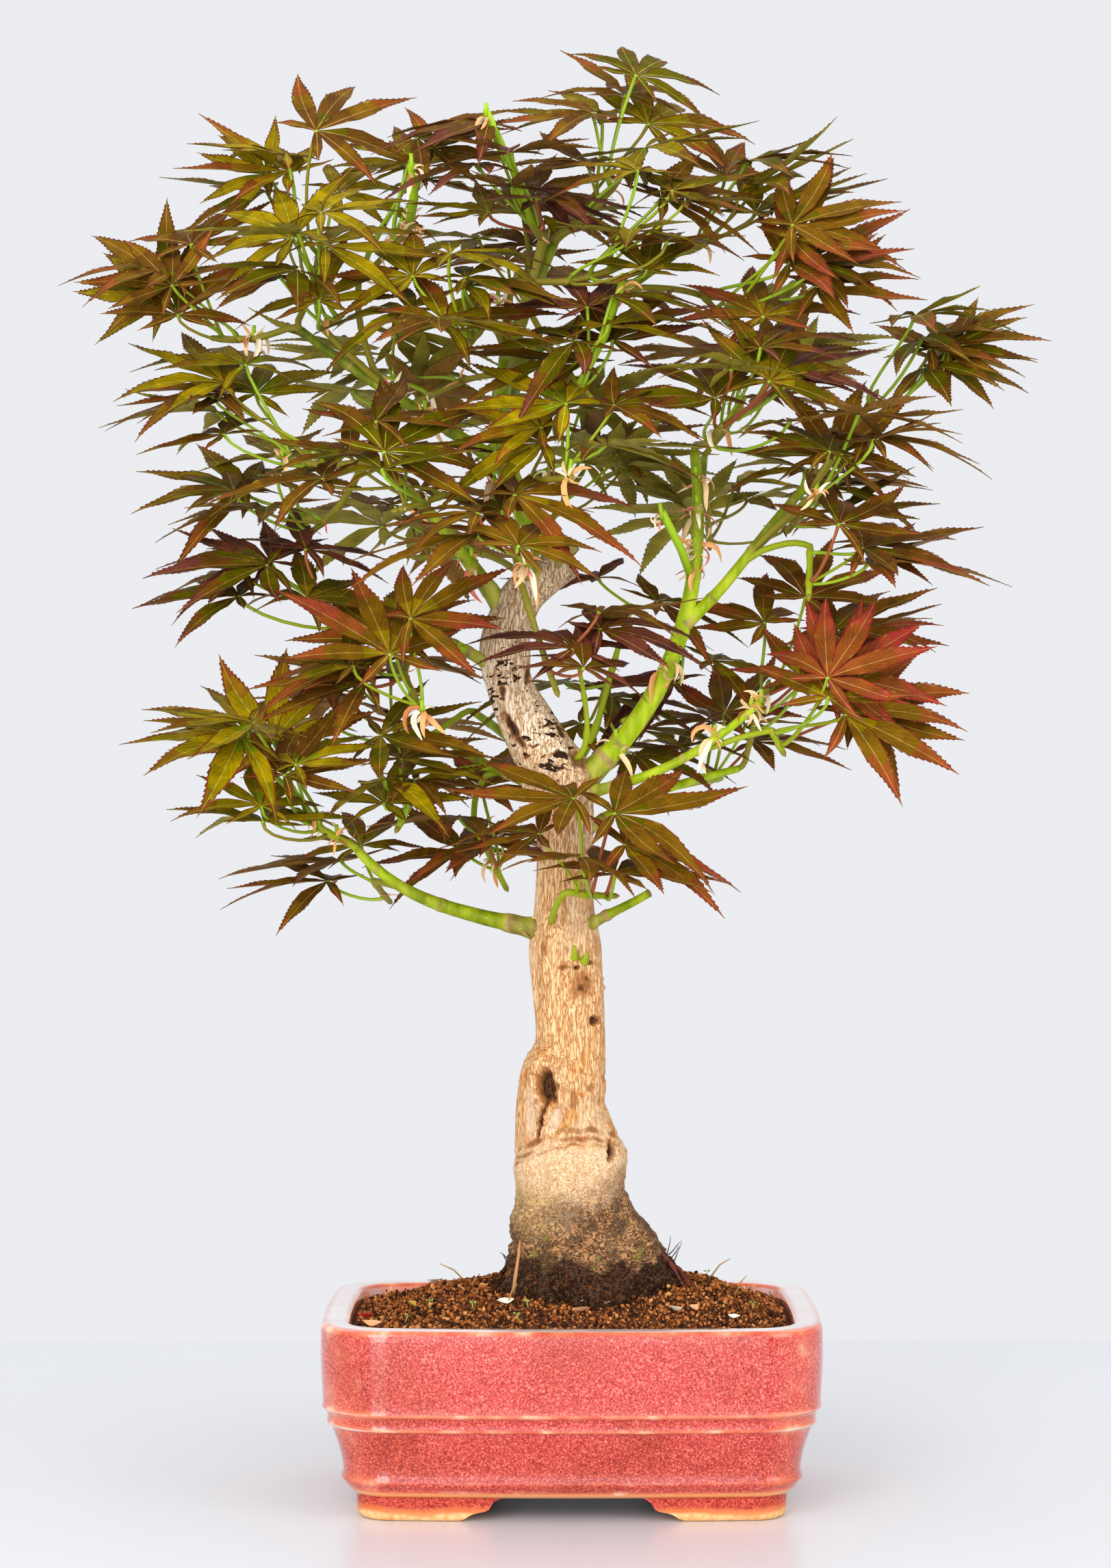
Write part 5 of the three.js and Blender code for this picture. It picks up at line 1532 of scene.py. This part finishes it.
scaleValues = {
    "clusters": [  # x, height and number of scales
        (-70, 564, 7), (-67, 527, 4), (-55, 527, 4), (-30, 505, 5), (-74, 473, 4), (-120, 457, 3), (21, 510, 7),
        (89, 447, 4), (35, 434, 4), (31, 427, 4), (48, 407, 6), (-57, 390, 4), (-4.5, 386, 6), (62, 351, 4),
        (49, 348, 6), (53, 334, 4), (78, 341, 4), (-62, 329, 3), (-138, 490, 4), (-34, 428, 4), (20, 318, 4),
        (-96, 290, 3), (-70, 452, 4), (46, 396, 6), (44, 420, 5), (-40, 268, 3), (-12, 250, 4),
    ],
    "seed": 57,
    "tintShares": [0.36, 0.30, 0.09, 0.17, 0.08],  # how often a scale takes each of the first five tones
    "profile": (0.5, 0.8, 1, 1, 0.9, 0.75, 0.5, 0.1),
    "fullness": 2.2,  # scales to each one counted in a cluster
    "lengths": (4.5, 10),
    "droops": (-0.1, 0.25),
    "hangingShare": 0.2,  # of the scales are long and hang
    "hangingLengths": (11, 19),
    "hangingDroop": 0.5,
    "nodeShare": 0.6,  # share of the twigs' nodes that keep some small scales
    "nodeSize": 0.7,
    "stubs": [((-67, -34, 566), 2.0), ((21, -58, 513), 1.7), ((38, -34, 420), 1.8), ((-36, -40, 588), 1.6)],
    "tones": [(250, 212, 160), (242, 172, 108), (244, 136, 120), (255, 238, 206), (200, 120, 64), (160, 196, 30)],
}


def scalePart(base, heading, length, droop, random, tint):  # a papery strip that curls one way
    route = [np.array(base, float)]
    curl, turn = random.uniform(0.12, 0.5), unit(random.normal(0, 1, 3))
    for _ in range(7):
        bend = np.cross(turn, heading) * curl + np.array([0, 0, -droop])
        heading = unit(heading + bend + random.uniform(-0.16, 0.16, 3))
        route.append(route[-1] + heading * length / 7)
    points = []
    for point, share, (across, other) in zip(route, scaleValues["profile"], framesAlong(np.array(route))):
        half = 0.095 * min(length, 13) * share
        points += [point - across * half + other * half * 0.7, point, point + across * half + other * half * 0.7]
    faces = stripFaces(8)
    return np.array(points), faces, np.full(len(faces), tint)


def buildBudScales():
    random = np.random.default_rng(scaleValues["seed"])
    spots = []
    for source in (*limbs.values(), *masses):
        for share in np.linspace(0, 1, 40):
            spots.append([*bezier(source["curve"], share), between(*source["radii"], share)])
    spots = np.array(spots)
    parts = []

    def nearest(x, z):
        away = np.hypot(spots[:, 0] - x, spots[:, 2] - z) + 0.14 * spots[:, 1]
        return spots[away.argmin()]

    def cluster(spot, count, size=1.0):
        for _ in range(count):
            heading = unit(random.normal(0, 1, 3) + np.array([0, -0.5, 0.3]))
            base = spot[:3] + heading * spot[3] * 0.7
            hanging = random.random() < scaleValues["hangingShare"]
            length = random.uniform(*scaleValues["hangingLengths" if hanging else "lengths"]) * size
            droop = scaleValues["hangingDroop"] if hanging else random.uniform(*scaleValues["droops"])
            tint = random.choice(5, p=scaleValues["tintShares"])
            parts.append(scalePart(base, heading, length, droop, random, tint))
        if count > 4:  # and the green end of a cut stalk
            end = spot[:3] + np.array([random.uniform(-1, 1), -spot[3], random.uniform(5, 8)])
            parts.append(tubePart([spot[:3], end], [1.0, 0.9], 7, 5))

    for x, z, count in scaleValues["clusters"]:
        cluster(nearest(x, z), round(scaleValues["fullness"] * count))
    for mass in masses:
        for mark in mass["marks"][1:-1:2]:
            if random.random() < scaleValues["nodeShare"]:
                spot = np.array([*bezier(mass["curve"], mark), mass["radii"][1]])
                cluster(spot, random.integers(1, 4), scaleValues["nodeSize"])
    for tip, radius in scaleValues["stubs"]:
        start = nearest(tip[0], tip[2] - 26)[:3]
        bent = (start + np.array(tip)) / 2 + [1.5, 0, -1]
        parts.append(tubePart([start, bent, tip], [radius, radius, radius * 0.95], 9, 5))
        cluster(np.array([tip[0], tip[1], tip[2] - 3, radius]), 5)
    return joinParts("bud_scales", parts)


scaleTints = makeTints(numbered("budScale", scaleValues["tones"]), 0.5, 0.25, (900, 3, (1, 1, 0.4)), 0.35, 0.0003)
finishPiece("bud_scales", buildBudScales(), scaleTints)
print("bud scales ready")


# The leaves: seven lobes, each folded along its rib, toothed towards its drawn-out tip, with a paler side below

leafValues = {
    "stations": [0.0, 0.12, 0.25, 0.38, 0.50, 0.62, 0.73, 0.83, 0.92, 1.0],  # along a lobe
    "width": [0.30, 0.56, 0.86, 1.0, 0.99, 0.83, 0.56, 0.30, 0.12, 0.0],  # share of its half width there
    "halfWidth": 0.106,  # of the lobe's length
    "toothFrom": 4,  # first station with teeth after it
    "toothOut": 0.015,
    "marginWidth": 0.5,
    "wave": 0.12,  # how far the blade waves along its margin
    "fold": 0.24,
    "under": 0.3,
    "tipStretch": 1.2,
    "lengths": (0.88, 0.2),  # share of its length that a lobe has at least, and what chance adds
    # how far a lobe turns (in degrees), twists, curls, pitches and swings, and the middle of the chance in it
    "bends": [(9, 0.5), (0.3, 0.5), (0.5, 0.68), (0.26, 0.46), (0.3, 0.5)],
    "rowPlaces": [1.0, 0.93, 0.51, 0.49, 0.07, 0.0, 1.0, 0.5, 0.0],  # across the lobe, six rows above and three below
    # tints: screen values
    "tones": {
        "deepOlive": (88, 80, 2), "olive": (126, 108, 2), "lightOlive": (146, 124, 4), "freshGreen": (116, 132, 4),
        "bronze": (112, 80, 10), "amber": (140, 98, 12), "rust": (130, 68, 24), "brown": (98, 63, 14),
        "plum": (104, 56, 40), "darkPlum": (80, 44, 36), "red": (143, 62, 36), "crimson": (148, 49, 40),
        "veinGreen": (172, 168, 72), "veinTan": (176, 138, 78),
        "underOlive": (148, 136, 48), "underBronze": (140, 102, 46),
        "edgeBrown": (92, 50, 20), "edgeRust": (112, 54, 24), "edgeWine": (96, 38, 30), "edgeRed": (132, 43, 33),
    },
    # from the palm to the tip in four steps, then the vein and the underside
    "palettes": {
        "olive": [
            "freshGreen olive olive bronze veinGreen underOlive",
            "olive olive deepOlive brown veinGreen underOlive",
            "olive lightOlive olive bronze veinGreen underOlive",
            "deepOlive brown bronze rust veinTan underOlive",
        ],
        "golden": [
            "freshGreen lightOlive olive bronze veinGreen underOlive",
            "lightOlive lightOlive amber rust veinGreen underOlive",
            "olive lightOlive olive bronze veinGreen underOlive",
        ],
        "bronze": [
            "olive deepOlive bronze bronze veinTan underBronze",
            "deepOlive deepOlive brown bronze veinGreen underBronze",
            "olive olive bronze rust veinGreen underOlive",
            "deepOlive brown bronze rust veinTan underBronze",
        ],
        "russet": [
            "deepOlive bronze bronze rust veinTan underBronze",
            "olive bronze rust red veinTan underBronze",
            "deepOlive brown bronze rust veinTan underBronze",
        ],
        "plum": [
            "deepOlive brown plum plum veinTan underBronze",
            "brown plum darkPlum plum veinTan underBronze",
            "deepOlive deepOlive brown plum veinTan underBronze",
        ],
        "red": [
            "olive bronze rust rust veinTan underBronze",
            "bronze rust rust red veinTan underBronze",
            "rust rust red crimson veinTan underBronze",
        ],
    },
    "steps": [0, 0, 1, 1, 1, 2, 2, 3, 3],  # the step of each span
    "margins": {
        "olive": "edgeBrown", "golden": "edgeRust", "bronze": "edgeBrown", "russet": "edgeRust", "plum": "edgeWine",
        "red": "edgeRed",
    },
    "strayShare": 0.3,  # of a spray's leaves take its second tint
    "strays": {
        "olive": "bronze", "golden": "olive", "bronze": "olive", "russet": "bronze", "plum": "bronze", "red": "russet",
    },
    "tiers": [("leaves_upper", 500), ("leaves_middle", 390), ("leaves_lower", 0)],  # and the height each starts at
    "topFrom": 545,  # leaves above this are flatter and smaller
    "seed": 77000,
    "shootSeed": 91000,
}


def leafParts(place, palette, margin, random):
    toneNames = list(leafValues["tones"])
    *steps, vein, under = (toneNames.index(name) for name in palette.split())
    edge = toneNames.index(margin)
    stations, profile = np.array(leafValues["stations"]), np.array(leafValues["width"])
    angles, shares = crownValues["lobeAngles"], crownValues["lobeShares"]
    count, toothFrom = len(stations), leafValues["toothFrom"]
    scale = place["length"] / crownValues["leafLength"]
    least, more = leafValues["lengths"]
    parts = []
    for lobe, (degrees, share) in enumerate(zip(angles, shares)):
        length = place["length"] * share * leafValues["tipStretch"] * (least + more * random())
        turn, twist, curl, pitch, swing = (far * (random() - middle) for far, middle in leafValues["bends"])
        axis, phase = math.radians(degrees + turn), 6 * random()
        along = stations * length
        sides = []
        for side in (1, -1):
            halfGap = 60  # degrees to the middle of the gap between two lobes
            if 0 <= lobe + side < len(angles):
                halfGap = min(halfGap, abs(angles[lobe + side] - degrees) / 2)
            limit = along * math.tan(math.radians(halfGap))
            sides.append(np.minimum(profile * leafValues["halfWidth"] * length, limit))
        left, right = sides

        def spot(forward, sideways, lift=0.0):
            bent = (forward / length) ** 2
            drift = sideways + swing * length * bent**1.4
            x = forward * math.cos(axis) - drift * math.sin(axis)
            y = forward * math.sin(axis) + drift * math.cos(axis)
            fold = leafValues["fold"] + leafValues["wave"] * np.sin(14 * forward / length + phase)
            rise = fold * np.abs(sideways) + twist * sideways * bent + length * bent * curl + forward * pitch
            return leafPoints(place, x, y, lift + rise)

        veinHalf = np.linspace(0.23, 0.05, count) * scale
        rows = []
        for half, sign in ((left, 1), (right, -1)):
            inner = half - np.minimum(leafValues["marginWidth"] * scale, 0.4 * half)
            rows.append([spot(along, sign * away) for away in (half, inner, np.minimum(veinHalf, half))])
        rib = spot(along, 0 * along, -leafValues["under"])
        pieces = [*rows[0], *rows[1][::-1], rows[0][0], rib, rows[1][0]]
        uvs = [np.stack([np.full(count, u), stations], axis=-1) for u in leafValues["rowPlaces"]]
        toothOut = leafValues["toothOut"] * length
        # two teeth to a span: where they meet, then their tips
        for half, sign, u in ((left, 1, 1.0), (right, -1, 0.0)):
            for reach in (0.5, 0.42, 0.92):
                out = 0 if reach == 0.5 else toothOut
                forward = along[:-1] + (along[1:] - along[:-1]) * reach
                pieces.append(spot(forward, sign * (half[:-1] + (half[1:] - half[:-1]) * reach + out)))
                uvs.append(np.stack([np.full(count - 1, u), forward / length], axis=-1))
        faces, tints = [], []
        teeth = 9 * count
        ahead = 1 if random() < 0.5 else 0
        later = 2 if random() < 0.3 else 0  # some lobes turn their last colour sooner
        for k in range(count - 1):
            leftTint = steps[leafValues["steps"][min(k + later, count - 2)]]
            rightTint = steps[leafValues["steps"][min(k + later + ahead, count - 2)]]
            for row, tint in enumerate((edge, leftTint, vein, rightTint, edge)):
                a, b = row * count + k, (row + 1) * count + k  # a lies left of b
                faces += [(b, b + 1, a + 1), (b, a + 1, a)]
                tints += [tint, tint]
            for row in (6, 7):
                a, b = row * count + k, (row + 1) * count + k
                faces += [(b, a + 1, b + 1), (b, a, a + 1)]
                tints += [under, under]
            if toothFrom <= k < count - 2:
                for rim, block in ((k, 0), (5 * count + k, 3)):
                    meet, low, high = (teeth + (block + j) * (count - 1) + k for j in range(3))
                    if block == 0:
                        faces += [(rim, meet, low), (meet, rim + 1, high)]
                    else:
                        faces += [(rim, low, meet), (meet, high, rim + 1)]
                    tints += [edge, edge]
        parts.append((np.concatenate(pieces), np.array(faces), np.array(tints), np.concatenate(uvs)))
    return parts


def makeLeafTints():
    tints = []
    for name, values in leafValues["tones"].items():
        tint = newMaterial(name, values, 0.5, 0.03)
        uv = addNode(tint, "ShaderNodeUVMap", uv_map="lobe").outputs[0]
        split = addNode(tint, "ShaderNodeSeparateXYZ", {0: uv})
        aside = mathOf(tint, "ABSOLUTE", mathOf(tint, "SUBTRACT", split.outputs["X"], 0.5))
        forward = mathOf(tint, "MULTIPLY", split.outputs["Y"], 62)
        slant = mathOf(tint, "SUBTRACT", forward, mathOf(tint, "MULTIPLY", aside, 34))
        veins = rangeOf(tint, mathOf(tint, "SINE", slant), -1, -0.55)
        blister = noiseOf(tint, 260, 3)
        darker, lighter, veinTone = ([share * value for value in values] for share in (0.86, 1.08, 1.3))
        color = layOver(tint, darker, lighter, noiseOf(tint, 120, 3), 0.38, 0.62)
        color = mixOf(tint, rangeOf(tint, mathOf(tint, "SINE", slant), -1, -0.75, 0.5, 0), color, veinTone)
        tints.append(dress(tint, color, rangeOf(tint, blister, 0.3, 0.7, 0.42, 0.62), [
            (veins, 0.35, 0.0004), (blister, 0.3, 0.0012),
        ]))
    return tints


leafTints = makeLeafTints()
tiers = {name: [] for name, _ in leafValues["tiers"]} | {"leaves_back": []}
for number, mass in enumerate(masses):
    side, _, height = mass["middle"]
    top = height > leafValues["topFrom"]
    tier = "leaves_back" if mass["lean"] < 0 else next(name for name, low in leafValues["tiers"] if height > low)
    raised = 11 if side > 50 else 5 if side < -60 else 0  # the outermost leaves lie more level than the rest
    for index, leaf in enumerate(mass["grown"]):
        random = seeded(leafValues["seed"] + 100 * number + index)
        tint = leafValues["strays"][mass["tint"]] if random() < leafValues["strayShare"] else mass["tint"]
        choices = leafValues["palettes"][tint]
        palette = choices[int(random() * len(choices))]
        place = dict(leaf["place"])
        place["facing"] = place["facing"] @ turnMatrix(-raised, "Y")
        place["droop"] -= 0.006 * raised + (0.09 if top and index else 0)
        place["length"] *= 0.91 if raised or top else 0.97
        tiers[tier] += leafParts(place, palette, leafValues["margins"][tint], random)
for index, leaf in enumerate(shootLeaves):
    choices, margin = leafValues["palettes"][leaf["tint"]], leafValues["margins"][leaf["tint"]]
    tiers["leaves_lower"] += leafParts(leaf["place"], choices[index % len(choices)], margin,
                                       seeded(leafValues["shootSeed"] + index))
for tier, parts in tiers.items():
    mesh = joinParts(tier, parts, "lobe")
    print(tier, len(mesh.polygons), "faces")
    finishPiece(tier, mesh, leafTints, massNodes)
print("leaves ready")
